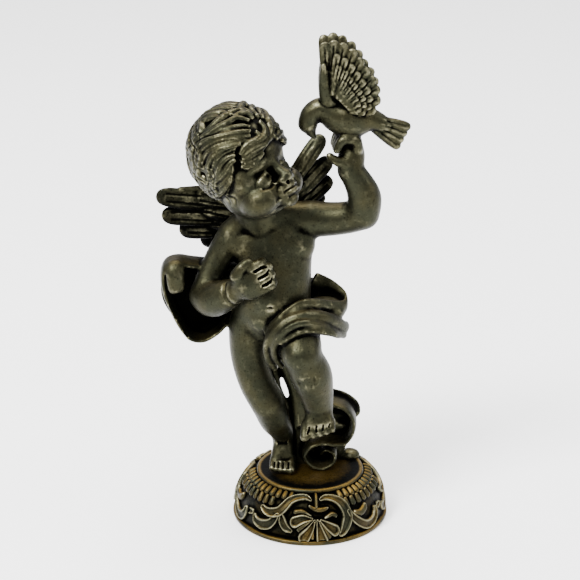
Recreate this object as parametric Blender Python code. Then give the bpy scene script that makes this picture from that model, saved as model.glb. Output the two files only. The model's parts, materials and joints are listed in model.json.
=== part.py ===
"""A pewter cherub figurine: a winged child with a bird on its raised hand, standing on a round rococo base.

Metres, +Z up. The origin is the centre of the base's underside, and the figure faces -Y.
The figure is one casting and the base is another. The base has driving dimensions of its own.
The figure's pose and carving are shares of its height: its tables count in small units, FIGURE_UNITS to the
height of the figure, with x to its left, y to its back and z up from the top of the base.
"""

import math

import bmesh
import bpy
import numpy as np
from mathutils import Matrix, Vector

# Driving dimensions of the figure
FIGURE_HEIGHT = 0.136  # from the top of the base to the tip of the bird's wing
FIGURE_UNITS = 136.0  # the same height in the units of the figure's tables
SEAT_GAP = 0.0003  # between the figure's sole and the base

# Driving dimensions of the base
BASE_RADIUS = 0.024  # the plain flange it stands on
BASE_HEIGHT = 0.015  # to the top of the platform
FLANGE_THICKNESS = 0.0013
PLATFORM_RADIUS = 0.0166
PLATFORM_THICKNESS = 0.0016
SKIRT_SETBACK = 0.0014  # from the flange's edge in to the foot of the skirt
NECK_SETBACK = 0.0007  # from the platform's edge in to the top of the skirt
RELIEF_HEIGHT = 0.0016  # the carving on the skirt
PANELS = 3  # the carving repeats this often round the skirt
PANEL_TURN = 5.0  # degrees that the front panel stands to the right of the front

# Working sizes of the clay that the solids are made from
FIGURE_VOXEL = 0.0041  # shares of the figure's height
FIGURE_FACES = 6700
BASE_FACES = 3000

PEWTER = (0.30, 0.29, 0.25, 1.0)
DARK_PEWTER = (0.22, 0.21, 0.18, 1.0)


def vec(*xyz):
    return Vector(xyz)


def smooth_path(stations, steps):
    """A Catmull-Rom curve through stations, which may carry radii after their x, y and z."""
    knots = np.array([stations[0], *stations, stations[-1]], float)
    rows = []
    for i in range(1, len(knots) - 2):
        a, b, c, d = knots[i - 1 : i + 3]
        for t in np.arange(steps) / steps:
            rows.append(
                0.5 * (2 * b + (c - a) * t + (2 * a - 5 * b + 4 * c - d) * t**2 + (3 * b - a - 3 * c + d) * t**3)
            )
    rows.append(knots[-2])
    return np.array(rows)


class Clay:
    """Closed shells gathered in one mesh before they are fused."""

    def __init__(self):
        self.mesh = bmesh.new()

    def ball(self, centre, radii, frame=None, fineness=3):
        """An ellipsoid. frame holds the directions of its three radii as columns."""
        turn = frame.to_4x4() if frame else Matrix.Identity(4)
        size = Matrix.Diagonal((*radii, 1.0)) if hasattr(radii, "__len__") else Matrix.Scale(radii, 4)
        place = Matrix.Translation(centre) @ turn @ size
        bmesh.ops.create_icosphere(self.mesh, subdivisions=fineness, radius=1.0, matrix=place)

    def loft(self, stations, across=(0.0, 1.0, 0.0), out_from=None, steps=4, sides=12):
        """A closed tube through stations of x, y, z, half width and half thickness.

        The width lies along across, as nearly as the path lets it. With out_from, the thickness points away
        from that centre instead, as on a lock of hair round a head.
        """
        rows = smooth_path([s if len(s) == 5 else (*s, s[3]) for s in stations], steps)
        places = rows[:, :3]
        tangents = np.gradient(places, axis=0)
        angles = [2 * math.pi * k / sides for k in range(sides)]
        rings = []
        for place, tangent, half in zip(places, tangents, rows[:, 3:]):
            place, along = Vector(place), Vector(tangent).normalized()
            side = along.cross(place - Vector(out_from)) if out_from else Vector(across)
            side -= along * along.dot(side)
            side = side.normalized() if side.length > 1e-6 else along.orthogonal().normalized()
            face = along.cross(side)
            wide, thick = side * max(half[0], 0.02), face * max(half[1], 0.02)
            rings.append([self.mesh.verts.new(place + wide * math.cos(a) + thick * math.sin(a)) for a in angles])
        for low, high in zip(rings, rings[1:]):
            for k in range(sides):
                n = (k + 1) % sides
                self.mesh.faces.new((low[k], low[n], high[n], high[k]))
        self.mesh.faces.new(rings[0][::-1])
        self.mesh.faces.new(rings[-1])

    def tube(self, stations, **shape):
        """A round limb with a ball at each end, through stations of x, y, z and radius."""
        self.loft(stations, **shape)
        for x, y, z, radius in (stations[0], stations[-1]):
            self.ball((x, y, z), radius, fineness=3)


def frame_of(forward, up):
    """A frame with columns forward, left and up, for a head, a hand or a bird."""
    f = Vector(forward).normalized()
    u = (Vector(up) - f * f.dot(Vector(up))).normalized()
    return Matrix((f, u.cross(f), u)).transposed()


def spaced(first, last, count):
    """Points on the straight line from first to last."""
    return [Vector(first).lerp(Vector(last), k / max(count - 1, 1)) for k in range(count)]


# The figure's pose
NECK = (-14.5, 1.5, 80.0)
RIGHT_SHOULDER = (-23.0, 2.0, 75.5)
RIGHT_ELBOW = (-31.7, -2.5, 57.8)
RIGHT_WRIST = (-21.5, -10.5, 62.7)
LEFT_SHOULDER = (0.4, 2.5, 80.2)
LEFT_ELBOW = (15.3, -1.5, 83.2)
LEFT_WRIST = (11.2, -3.2, 97.0)
HEAD = (-19.1, -4.0, 93.8)  # between the ears
HEAD_FRAME = frame_of((0.675, -0.546, 0.497), (-0.492, 0.169, 0.854))  # it looks up at the bird
RIGHT_HIP = (-18.6, 1.0, 47.5)
RIGHT_KNEE = (-12.9, -3.5, 23.0)
RIGHT_ANKLE = (-8.4, 2.8, 8.4)
LEFT_HIP = (-5.5, 0.5, 48.5)
LEFT_KNEE = (-2.8, -12.0, 42.2)
LEFT_ANKLE = (2.6, -7.5, 23.5)
PALM = Vector((-17.6, -12.6, 66.0))
PALM_FRAME = frame_of((0.86, 0.12, 0.50), (0.10, -0.97, 0.10))


def on_head(forward, left, up):
    """A place on the head, measured from its middle along its own forward, left and up."""
    return Vector(HEAD) + HEAD_FRAME @ vec(forward, left, up)


# The round that the hair fills, on the head
HAIR_CENTRE, HAIR_RADII = (1.4, 1.3, 8.3), (14.9, 14.2, 14.9)  # the round that the hair fills, on the head

# Each lock's half width, and the places it runs through on the head: forward, left and up from its middle
HAIR_LOCKS = [
    (1.3, [(13.9, 1.9, 16.3), (11.5, 1.6, 19.3), (9.8, -1.4, 20.2), (7.8, -4.9, 20.1), (4.7, -7.9, 19.1),
           (0.1, -9.5, 17.9), (-5.5, -8.8, 16.2)]),
    (1.3, [(14.2, -0.9, 15.5), (12, -2.5, 18), (10.4, -5, 18.2), (8, -7.3, 18.2), (4.8, -9, 17.9),
           (1.2, -9.7, 17.7), (-4.3, -9.3, 16.4), (-8.8, -7.5, 13.9)]),
    (1.2, [(14.7, -2.1, 14), (13.3, -3.7, 15.6), (11.6, -5.6, 16.4), (9.5, -7.5, 16.7), (7, -9.1, 16.7),
           (4, -9.8, 17.3), (0, -10, 17.2), (-3.7, -10, 15.7), (-6.8, -9.6, 13.3)]),
    (1.3, [(14.8, -3.3, 12.8), (13.4, -5.3, 13.9), (11.1, -7.4, 14.9), (8.2, -9.1, 15.8), (4.7, -10.1, 16.5),
           (1.5, -10.6, 16.5), (-1.4, -11, 15.1), (-4, -11.4, 12.3)]),
    (1.2, [(14.7, -4.2, 11.7), (12.8, -6.8, 12.8), (10.4, -8.6, 14.1), (7.4, -10, 15), (4, -11, 15.2),
           (1.2, -11.6, 14.4), (-1.2, -12.1, 12.3), (-3.3, -12, 10.4)]),
    (1.3, [(14, -5.8, 10.9), (12, -8, 12.2), (9.6, -9.7, 13), (6.4, -11.1, 13.7), (3.5, -11.9, 13.5),
           (1.2, -12.4, 12.3), (-0.6, -12.6, 10.8)]),
    (1.2, [(12.7, -7.6, 11), (10.4, -9.6, 11.6), (7.8, -10.9, 12.4), (5.5, -11.9, 12.1), (3.3, -12.5, 11.1),
           (1.5, -12.9, 9.4), (0.9, -12.9, 7.4)]),
    (1.2, [(11.4, -9, 10.6), (9.1, -10.5, 11.1), (6.9, -11.7, 10.9), (4.8, -12.5, 9.8), (2.9, -12.8, 8.1),
           (2.4, -12.8, 6.6)]),
    (1.2, [(10.7, -9.7, 9.1), (8.6, -11.1, 9.3), (6.3, -12.1, 8.7), (4.5, -12.6, 7.4), (2, -12.7, 6.1),
           (-1.3, -12.5, 6)]),
    (1.3, [(10.2, -10.2, 7.8), (8.4, -11.2, 7.5), (6.3, -12, 6.5), (3.4, -12.5, 5.5), (-0.5, -12.4, 5),
           (-5.7, -10.9, 5.4)]),
    (1.2, [(8.6, -11, 6.7), (7.2, -11.4, 5.1), (4.8, -11.9, 4), (0.8, -12, 3.2), (-4.7, -10.7, 3),
           (-8.9, -8.3, 4.3)]),
    (1.2, [(6.8, -11.4, 4.5), (5.1, -11.5, 2.9), (1.4, -11.3, 1.5), (-3.9, -10, 0.9), (-8.1, -7.9, 2.1),
           (-8.7, -8.2, 3.9)]),
    (1.2, [(-5.2, -8.9, 16.2), (-8.8, -7.5, 14), (-9.3, -8.1, 11.6), (-9.4, -8.4, 9)]),
    (1.2, [(-2.5, -11, 14.6), (-5.6, -10.6, 12.5), (-7.9, -9.6, 9.9), (-7.9, -9.7, 7.2), (-9, -8.4, 5.2)]),
    (1.0, [(-0.9, -12.4, 11.6), (-4.2, -11.8, 9.5), (-5.1, -11.4, 7), (-9.1, -8.4, 5.3)]),
    (1.5, [(14.2, 3.3, 15.6), (13.4, 7.1, 14.8), (14.8, 6.2, 12.4), (15.8, 4.6, 10), (16.3, 1.4, 8.2),
           (16.1, -0.7, 7.6)]),
    (1.3, [(14.5, 6.8, 12.6), (15, 6.9, 10.1), (15.5, 5.9, 8), (16.1, 3.2, 6.7)]),
    (1.4, [(15.2, 1.9, 14), (15.9, 1.7, 11.5), (16.2, -0.2, 9.6), (15.6, -2.8, 9.1), (14.5, -5.4, 9.2),
           (12.9, -7.7, 8.5), (11.9, -8.8, 7.8)]),
    (1.2, [(15.4, -1.8, 12.1), (15.8, -1.8, 10.3), (15.1, -4, 9.7), (14.1, -6, 9.9), (12.7, -7.9, 9.3),
           (11.6, -9, 8.4)]),
    (1.2, [(16.2, 0.1, 7.9), (15.8, -2.3, 7.3), (14.8, -4.9, 7.6), (13.3, -7.3, 7.4), (11.5, -9, 7)]),
    (1.1, [(15.7, -2.3, 6.6), (14.9, -4.4, 6.3), (13.5, -6.8, 6.4), (12, -8.5, 6.2), (10.9, -9.5, 6.3)]),
    (1.0, [(15.2, -3.4, 5.4), (14.1, -5.4, 4.8), (12.6, -7.5, 5.1), (11.3, -9, 5.5)]),
    (1.0, [(14, -5.2, 4.4), (12.7, -7.1, 4), (11.2, -8.6, 4.2), (10.3, -9.7, 5.3)]),
    (1.3, [(13.6, 4, 16.3), (12.7, 2.4, 17.9), (11, 2, 19.7), (10, -0.4, 20.3)]),
    (1.2, [(14.5, 0.6, 15.3), (13.2, 0.9, 17.4), (12.2, -0.5, 18.4), (10.9, -2.6, 19)]),
    (1.0, [(-8.8, -8.2, 4), (-8.4, -8.1, 2.9), (-7.6, -7.5, 0.9), (-6.6, -6.8, -0.9), (0.9, -10.7, 0.4),
           (4.5, -11.2, 1.9)]),
    (0.9, [(-7.6, -7.5, 0.8), (-6.7, -6.9, -0.7), (-5.3, -5.9, -2.7), (-4.3, -5, -3.8)]),
    (0.8, [(-6.6, -6.8, -1), (-5.8, -6.2, -2.2), (-4.6, -5.3, -3.4)]),
]


def torso(clay):
    clay.loft(
        [(-12.0, 2.0, 42.5, 9.0, 6.0), (-12.0, 1.6, 47.0, 11.2, 8.2), (-11.8, 0.8, 52.0, 11.6, 9.0),
         (-11.2, -0.2, 57.0, 11.3, 9.2),
         (-10.8, 0.4, 62.5, 11.0, 8.8), (-11.0, 1.2, 68.0, 11.4, 8.2), (-11.2, 1.8, 73.5, 12.2, 7.6),
         (-12.0, 2.2, 78.0, 11.6, 6.6),
         (-13.0, 2.2, 81.0, 8.0, 5.0)],
        across=(1.0, 0.0, 0.0), sides=32,
    )
    clay.ball((-11.2, -2.6, 57.0), (8.6, 7.6, 8.0))  # belly
    clay.ball((-12.4, -3.0, 51.5), (7.6, 6.4, 6.0))  # lower belly
    for x in (-17.2, -5.8):
        clay.ball((x, 0.2, 73.0), (7.2, 5.2, 6.2))  # breast
    for x in (-16.9, -6.6):
        clay.ball((x, 6.0, 48.0), (6.2, 6.0, 6.6))  # buttocks
    clay.tube([(*RIGHT_SHOULDER, 4.6), (-18.5, 2.2, 79.0, 5.4), (*NECK, 6.4), (-6.5, 2.5, 80.0, 5.6),
               (*LEFT_SHOULDER, 5.5)])
    clay.tube([(*NECK, 6.6), (-16.0, 0.5, 84.5, 6.8), (-17.5, -1.0, 90.0, 7.0)])


def arms(clay):
    clay.tube([(*RIGHT_SHOULDER, 4.9), (-27.0, 1.2, 69.5, 4.2), (-30.2, -0.6, 63.5, 3.9), (*RIGHT_ELBOW, 4.6)])
    clay.tube([(*RIGHT_ELBOW, 4.9), (-29.3, -5.0, 57.4, 5.4), (-25.2, -8.2, 60.0, 4.8), (*RIGHT_WRIST, 3.6)])
    clay.tube([(*LEFT_SHOULDER, 5.6), (5.0, 1.6, 80.4, 5.2), (11.0, 0.2, 81.4, 4.9), (*LEFT_ELBOW, 4.9)])
    clay.tube([(*LEFT_ELBOW, 5.0), (15.6, -2.2, 88.2, 5.1), (13.8, -2.9, 93.0, 4.4), (*LEFT_WRIST, 3.8)])
    clay.ball(PALM, (5.7, 5.9, 2.9), PALM_FRAME)
    clay.tube([(*RIGHT_WRIST, 3.6), (*(PALM - PALM_FRAME.col[0] * 2.0), 3.3)])
    clay.tube([(*LEFT_WRIST, 3.9), (11.6, -2.0, 101.0, 4.1), (11.6, -1.2, 103.2, 3.6)])


def foot(clay, ankle, heel, instep, toe_row, girth):
    """The foot behind its toes. toe_row runs from the little toe's root to the big toe's."""
    middle, row = Vector(instep), Vector(toe_row)
    clay.tube([(*ankle, girth * 1.08), (*heel, girth * 0.96)])
    for share in (-0.28, 0.0, 0.28):
        clay.tube([(*heel, girth * 0.9), (*(middle + row * share), girth * 0.8)])
        clay.tube([(*ankle, girth), (*(middle + row * share), girth * 0.8)])


RIGHT_FOOT = ((-8.2, 4.6, 2.4), (-8.6, -0.4, 2.4), (5.8, 0.6, 0.0))  # heel, instep and row of toes
LEFT_FOOT = ((2.6, -6.0, 20.6), (2.4, -10.2, 19.2), (-8.2, -0.2, -1.0))


def legs(clay):
    clay.tube([(*RIGHT_HIP, 6.4), (-18.7, -0.3, 38.4, 5.8), (-16.6, -2.2, 30.0, 5.5), (*RIGHT_KNEE, 5.4)])
    clay.tube([(*RIGHT_KNEE, 5.3), (-11.0, -1.2, 16.6, 4.8), (-9.2, 1.4, 12.0, 3.9), (*RIGHT_ANKLE, 3.3)])
    foot(clay, RIGHT_ANKLE, *RIGHT_FOOT, 2.9)
    clay.tube([(*LEFT_HIP, 7.4), (-4.4, -5.0, 46.8, 7.1), (-3.2, -9.5, 44.0, 6.6), (*LEFT_KNEE, 6.0)])
    clay.tube([(*LEFT_KNEE, 5.6), (0.0, -10.2, 35.6, 6.4), (1.6, -8.6, 29.0, 5.4), (*LEFT_ANKLE, 4.4)])
    foot(clay, LEFT_ANKLE, *LEFT_FOOT, 3.5)


def toes(clay):
    for (_, instep, toe_row), reach, thickness in ((RIGHT_FOOT, (-0.3, -4.6, -1.6), 1.15),
                                                   (LEFT_FOOT, (-0.2, -2.4, -2.8), 1.15)):
        sizes = ((-0.52, 0.8, 0.8), (-0.29, 0.88, 0.92), (-0.05, 0.95, 1.0), (0.19, 1.0, 1.05), (0.49, 1.25, 1.12))
        roots, tips = [], []
        for share, size, length in sizes:
            root = Vector(instep) + Vector(toe_row) * share + Vector((0.0, 0.0, 0.4))
            roots.append(root)
            tips.append(root + Vector(reach) * length)
            clay.tube([(*root, thickness * size), (*((root + tips[-1]) / 2), thickness * size),
                       (*tips[-1], thickness * size)])


def skull(clay):
    clay.ball(on_head(*HAIR_CENTRE), [r * 0.91 for r in HAIR_RADII], HEAD_FRAME)
    clay.ball(on_head(2.6, 0.0, -2.4), (10.6, 10.8, 9.0), HEAD_FRAME)  # face
    clay.ball(on_head(4.2, 0.0, 4.4), (9.4, 10.6, 7.4), HEAD_FRAME)  # forehead
    clay.ball(on_head(4.4, 0.0, -7.2), (8.4, 8.2, 5.0), HEAD_FRAME)  # under the chin
    clay.ball(on_head(11.6, 0.0, -9.8), (2.8, 3.4, 2.6), HEAD_FRAME)  # chin
    clay.ball(on_head(11.8, 0.0, -6.6), (3.2, 5.2, 3.8), HEAD_FRAME)  # round the mouth
    clay.tube([(*on_head(11.4, 0.0, 4.0), 2.6), (*on_head(12.6, 0.0, 0.6), 2.0),
               (*on_head(13.4, 0.0, -2.2), 2.2)])  # nose's root
    for side in (-1, 1):
        clay.ball(on_head(6.6, 5.9 * side, -6.2), (6.4, 6.0, 5.0), HEAD_FRAME)  # cheek
        clay.ball(on_head(6.0, 6.6 * side, 0.0), (4.6, 4.2, 3.8), HEAD_FRAME)  # temple
        clay.tube([(*on_head(12.0, 1.8 * side, 2.8), 1.9), (*on_head(11.6, 5.4 * side, 3.4), 1.9),
                   (*on_head(6.6, 9.0 * side, 2.6), 1.6)])


def face(clay):
    for side in (-1, 1):
        clay.ball(on_head(10.3, 5.2 * side, -1.8), (2.0, 2.5, 1.8), HEAD_FRAME)  # eye
        clay.ball(on_head(14.4, 1.9 * side, -4.1), (1.5, 1.3, 1.2), HEAD_FRAME)  # nostril
    clay.tube([(*on_head(13.4, 0.0, -0.6), 1.5), (*on_head(14.5, 0.0, -2.4), 1.6), (*on_head(15.0, 0.0, -3.4), 1.9)])
    for wide, up, radius in ((3.0, -6.5, 0.8), (2.4, -8.0, 1.0)):  # lips
        clay.tube([(*on_head(13.0, -wide, up - 0.3), 0.5), (*on_head(14.8, 0.0, up), radius),
                   (*on_head(13.0, wide, up - 0.3), 0.5)])


def hair(clay):
    """Locks swept back from the whorl over the forehead, the same on both sides, and waves down the back."""
    for k, (half_width, places) in enumerate(HAIR_LOCKS):
        add_lock(clay, half_width, 0.02 * math.sin(2.4 * k), places)
        if sum(left for _, left, _ in places) / len(places) < -4.0:
            mirrored = [(forward, 2 * HAIR_CENTRE[1] - left, up) for forward, left, up in places]
            add_lock(clay, half_width, 0.02 * math.sin(2.4 * k + 1.0), mirrored)
    for layer, count, low, high in ((0, 22, 86.0, 22.0), (1, 21, 52.0, -14.0), (2, 18, 14.0, -46.0)):
        for k in range(count):
            turn = 90.0 + 180.0 * (k + 0.5) / count
            places = []
            for j in range(7):
                lean = math.radians(low + (high - low) * j / 6 - 7.0 * (k % 2) + 3.0 * math.sin(2.6 * k))
                sway = 9.0 * math.sin(1.3 * j + 1.1 * k + 2.0 * layer) + 1.5 * j * math.sin(1.7 * k + layer)
                around = math.radians(turn + sway)
                way = (math.cos(lean) * math.cos(around), math.cos(lean) * math.sin(around), math.sin(lean))
                places.append([c + r * w for c, r, w in zip(HAIR_CENTRE, HAIR_RADII, way)])
            add_lock(clay, 1.5, (0.015, 0.0, -0.01)[layer] + 0.012 * math.sin(3.1 * k), places)


def add_lock(clay, half_width, lift, places):
    """One lock of hair, through places in the head's own directions: a low strap with a narrow ridge along it."""
    count = len(places)
    for width, thickness, level in ((1.0, 1.1, 0.945), (0.62, 1.0, 0.97)):
        stations = []
        for k, place in enumerate(places):
            inset = [c + (p - c) * (level + lift) for c, p in zip(HAIR_CENTRE, place)]
            taper = min(1.0, 0.45 + 1.6 * min(k, count - 1 - k) / count)
            stations.append((*on_head(*inset), half_width * width * taper, thickness * taper))
        clay.loft(stations, out_from=on_head(*HAIR_CENTRE), steps=3, sides=8)



def fingers(clay):
    """The right hand lies flat on the belly. The left is raised, its fingers curled over as the bird's perch."""
    for k in range(4):
        spread = (k - 1.5) * 2.5
        joints = ((1.2, spread, 1.0), (4.4, spread, 1.5), (6.8 - 0.3 * abs(spread - 0.8), spread * 0.95, 0.4))
        clay.tube([(*(PALM + PALM_FRAME @ vec(*p)), r) for p, r in zip(joints, (1.5, 1.5, 1.3))])
    thumb = ((-2.8, 3.8, 0.8), (0.2, 5.4, 1.3), (2.6, 5.8, 1.2))
    clay.tube([(*(PALM + PALM_FRAME @ vec(*p)), r) for p, r in zip(thumb, (2.0, 1.6, 1.3))])
    for k in range(4):
        y = -5.2 + 2.5 * k
        clay.tube(
            [(13.2, y * 0.8, 103.6, 1.8), (12.6 - 0.2 * k, y, 106.4 + 0.2 * k, 1.55),
             (9.0 - 0.3 * k, y - 0.4, 106.6 + 0.2 * k, 1.45), (7.2 - 0.2 * k, y - 0.7, 103.8, 1.2)]
        )
    clay.tube([(10.0, -4.6, 99.4, 2.2), (7.4, -5.2, 100.2, 1.5), (5.2, -4.8, 101.6, 1.15)])


def feather(clay, root, tip, half_width, half_thickness, facing, bend=0.0):
    """A flat feather with a round tip. facing is square to its blade, and bend bows it that way."""
    root, tip, facing = Vector(root), Vector(tip), Vector(facing).normalized()
    travel = tip - root
    across = travel.cross(facing).normalized()
    shape = ((0.0, 0.5, 1.1), (0.3, 0.82, 1.0), (0.62, 1.0, 1.0), (0.84, 1.0, 0.95), (0.94, 0.82, 0.8),
             (0.985, 0.5, 0.6), (1.0, 0.15, 0.4))
    stations = []
    for along, wide, thick in shape:
        place = root + travel * along + facing * bend * math.sin(math.pi * along)
        stations.append((*place, half_width * wide, half_thickness * thick))
    clay.loft(stations, across=across, steps=2, sides=10)


def fan(clay, roots, tips, half_width, half_thickness, facing, bend=0.0):
    """Feathers side by side, from the line of roots to the line of tips."""
    for root, tip in zip(roots, tips):
        feather(clay, root, tip, half_width, half_thickness, facing, bend)


def wings(clay):
    """The child's wings: long flight feathers under a short row of coverts."""
    right_facing, left_facing = (0.05, -0.98, 0.18), (-0.25, -0.95, 0.1)
    right_tips = ((-46.6, 12.0, 84.2), (-45.0, 12.0, 78.2), (-39.8, 12.0, 73.8), (-33.5, 12.0, 71.0))
    right_roots = ((-18.0, 8.6, 83.0), (-18.5, 8.8, 79.0), (-18.0, 9.0, 75.5), (-17.0, 9.0, 72.5))
    fan(clay, right_roots, right_tips, 3.1, 1.0, right_facing, 1.2)
    fan(clay, right_roots, spaced((-35.0, 10.0, 85.0), (-29.0, 10.0, 74.6), 4), 2.8, 1.2, right_facing, 1.6)
    clay.tube([(-14.5, 7.0, 77.0, 3.2), (-20.0, 8.6, 84.0, 2.2), (-30.0, 10.2, 86.4, 1.6), (-39.0, 11.2, 86.2, 1.2)])
    left_tips = ((3.6, 12.0, 103.2), (5.8, 12.5, 96.0), (6.0, 12.5, 90.0), (3.6, 12.0, 85.4))
    left_roots = ((-9.5, 8.0, 84.5), (-8.0, 8.4, 81.6), (-7.0, 8.6, 78.6), (-7.0, 8.6, 76.0))
    fan(clay, left_roots, left_tips, 2.7, 1.1, left_facing, 1.0)
    fan(clay, left_roots, spaced((-2.6, 10.4, 94.4), (-0.2, 10.4, 84.0), 4), 2.6, 1.3, left_facing, 0.6)
    clay.tube([(-8.5, 6.5, 78.0, 3.2), (-8.5, 8.5, 86.0, 2.2), (-4.5, 10.0, 92.5, 1.6), (0.0, 11.0, 98.5, 1.2)])


def bird_body(clay):
    clay.ball((10.0, -2.0, 112.2), (8.2, 5.0, 5.4), frame_of((-0.95, 0.0, 0.22), (0.2, 0.0, 1.0)))
    clay.tube([(6.4, -2.0, 113.8, 4.2), (2.6, -2.0, 115.2, 3.3), (-0.2, -2.0, 113.6, 3.0), (-1.1, -2.0, 111.2, 3.0)])
    clay.tube([(10.6, -2.0, 109.4, 3.8), (10.4, -2.4, 106.4, 3.0)])  # belly on the fingers
    clay.tube([(14.0, -2.0, 112.6, 4.2), (18.0, -2.0, 111.6, 3.2), (21.5, -2.0, 110.0, 2.4)])


def bird_feathers(clay):
    clay.tube([(-1.1, -2.0, 110.6, 2.9), (-0.1, -2.0, 108.0, 1.6), (0.9, -2.0, 106.4, 0.6)])  # beak
    roots, tips = spaced((16.0, -2.0, 112.6), (16.0, -2.0, 110.4), 4), spaced((28.6, -2.0, 109.4),
                                                                              (25.6, -2.0, 103.4), 4)
    for root, tip in zip(roots, tips):
        feather(clay, root, tip, 1.5, 1.6, (0.1, -1.0, 0.3))
    for y, lean in ((-3.6, -2.6), (0.6, 3.2)):
        bird_wing(clay, y, lean)


def bird_wing(clay, y, lean):
    """A raised wing: flight feathers round its edge, rows of coverts over them and a smooth leading edge."""
    facing = Vector((0.0, -1.0 if lean < 0 else 1.0, 0.3)).normalized()
    tips = (
        (3.4, 135.4), (6.2, 136.0), (9.0, 135.2), (11.8, 133.4), (14.0, 130.8), (15.8, 128.0),
        (17.8, 125.4), (19.2, 122.4), (19.5, 119.2), (18.2, 116.2),
    )
    for row, (reach, width) in enumerate(((1.0, 1.75), (0.76, 1.5), (0.56, 1.4), (0.38, 1.3))):
        for k in range(row, len(tips) - row % 2):
            share = k + 0.5 * (row % 2)
            root = Vector((4.4, y, 121.0)).lerp(Vector((11.5, y, 114.0)), share / (len(tips) - 1))
            (x, z), (next_x, next_z) = tips[k], tips[min(k + 1, len(tips) - 1)]
            tip = Vector((x, y + lean, z)).lerp(Vector((next_x, y + lean, next_z)), share - k)
            step = facing * 0.75 * row
            feather(clay, root + step, root.lerp(tip, reach) + step, width, 0.8, facing)
    clay.loft(
        [(8.5, y * 0.8, 113.0, 3.0, 2.0), (5.0, y, 117.5, 2.6, 1.8), (3.6, y + lean * 0.3, 123.0, 1.8, 1.6),
         (3.4, y + lean * 0.6, 129.0, 1.0, 1.2)],
        across=(0.8, 0.0, 0.6),
    )


def thigh_cloth(clay):
    """A loop from the left of the waist, and the doubled hem that crosses the thigh above the knee."""
    clay.loft(
        [(0.5, 4.5, 60.4, 2.6, 1.0), (5.2, 4.6, 57.6, 3.0, 0.9), (9.4, 2.6, 54.6, 3.0, 0.9),
         (10.0, -0.8, 53.6, 2.2, 1.0),
         (5.4, -4.8, 55.4, 1.7, 1.3), (1.6, -7.6, 57.0, 1.7, 1.4), (-2.6, -9.6, 57.4, 1.8, 1.4),
         (-6.0, -10.6, 55.6, 1.9, 1.4),
         (-10.0, -11.0, 52.0, 1.9, 1.4), (-13.2, -9.6, 48.0, 1.6, 1.2)],
        across=(0.1, 0.1, 1.0),
    )
    clay.ball((4.0, -0.5, 52.5), (6.6, 6.5, 3.6))  # the cloth inside the loop
    clay.loft(
        [(10.4, 1.5, 46.6, 1.6, 1.0), (10.2, -2.0, 47.2, 1.9, 1.3), (7.0, -6.4, 50.8, 2.0, 1.6),
         (3.0, -9.6, 53.6, 2.0, 1.7),
         (-1.6, -11.8, 54.6, 2.0, 1.7), (-6.4, -12.4, 53.4, 2.0, 1.7), (-10.2, -12.0, 50.4, 2.0, 1.6),
         (-12.8, -10.6, 46.0, 2.0, 1.4), (-12.4, -8.6, 40.4, 1.8, 1.2), (-10.6, -6.6, 35.6, 1.2, 1.0)],
        across=(0.3, 0.3, 0.9),
    )
    clay.loft(
        [(9.6, 0.5, 44.6, 0.9, 0.9), (9.8, -3.2, 45.2, 1.1, 1.0), (6.4, -8.0, 48.8, 1.2, 1.1),
         (2.2, -12.0, 52.0, 1.2, 1.2),
         (-1.8, -14.2, 53.6, 1.2, 1.2), (-5.6, -14.8, 52.8, 1.2, 1.2), (-9.0, -14.0, 49.6, 1.2, 1.2),
         (-10.8, -12.2, 45.4, 1.2, 1.1), (-10.4, -10.0, 40.6, 1.1, 1.0), (-8.4, -8.4, 37.0, 0.9, 0.9)],
        across=(0.35, 0.6, 0.7),
    )
    clay.loft(
        [(-8.6, -7.0, 47.0, 7.6, 2.2), (-2.6, -7.5, 50.6, 7.6, 2.2), (4.0, -4.5, 49.6, 7.2, 2.0),
         (8.6, -1.0, 46.6, 4.0, 1.3)],
        across=(0.1, 1.0, 0.0),
    )


def swag(clay):
    """The sash crosses the back of the hips and hangs out behind the right elbow, its end turned over."""
    clay.loft(
        [(3.0, 4.5, 57.0, 3.6, 1.3), (-3.5, 9.8, 54.5, 4.8, 1.3), (-11.0, 11.4, 51.5, 5.2, 1.3),
         (-18.0, 9.6, 48.5, 5.2, 1.3),
         (-23.5, 6.0, 46.5, 5.0, 1.2)],
        across=(0.0, 0.1, 1.0),
    )
    clay.loft(
        [(-20.0, 6.5, 48.0, 4.4, 1.0), (-24.8, 5.0, 47.6, 5.2, 1.0), (-28.4, 4.0, 44.6, 5.6, 1.0),
         (-32.6, 3.4, 42.6, 5.8, 1.0),
         (-36.6, 3.0, 43.6, 5.8, 1.0), (-39.6, 2.6, 48.0, 5.6, 1.0), (-42.4, 2.0, 54.4, 5.4, 1.0),
         (-43.8, 1.4, 60.0, 5.2, 1.1),
         (-43.4, 1.0, 66.0, 5.0, 1.2), (-40.0, 1.2, 67.6, 4.8, 1.2), (-35.0, 2.2, 66.6, 4.6, 1.2),
         (-28.0, 5.0, 65.0, 4.0, 1.4),
         (-21.0, 7.5, 64.0, 3.6, 1.6)],
        across=(0.0, 1.0, 0.0),
    )
    clay.loft(
        [(-42.6, 5.4, 61.0, 4.4, 1.0), (-38.0, 6.2, 56.6, 9.0, 1.1), (-31.5, 7.0, 54.0, 11.0, 1.2),
         (-24.0, 7.6, 55.0, 10.0, 1.4),
         (-18.0, 7.6, 56.0, 8.0, 1.6)],
        across=(0.2, 0.1, 1.0),
    )
    clay.loft(
        [(-39.9, 2.0, 66.8, 2.4, 1.2), (-40.2, -2.4, 67.4, 2.7, 1.5), (-40.2, -4.4, 64.6, 2.8, 1.5),
         (-40.0, -4.2, 60.6, 2.6, 1.2),
         (-39.6, -3.4, 58.8, 2.0, 0.8)],
        across=(1.0, 0.0, 0.0),
    )


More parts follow.
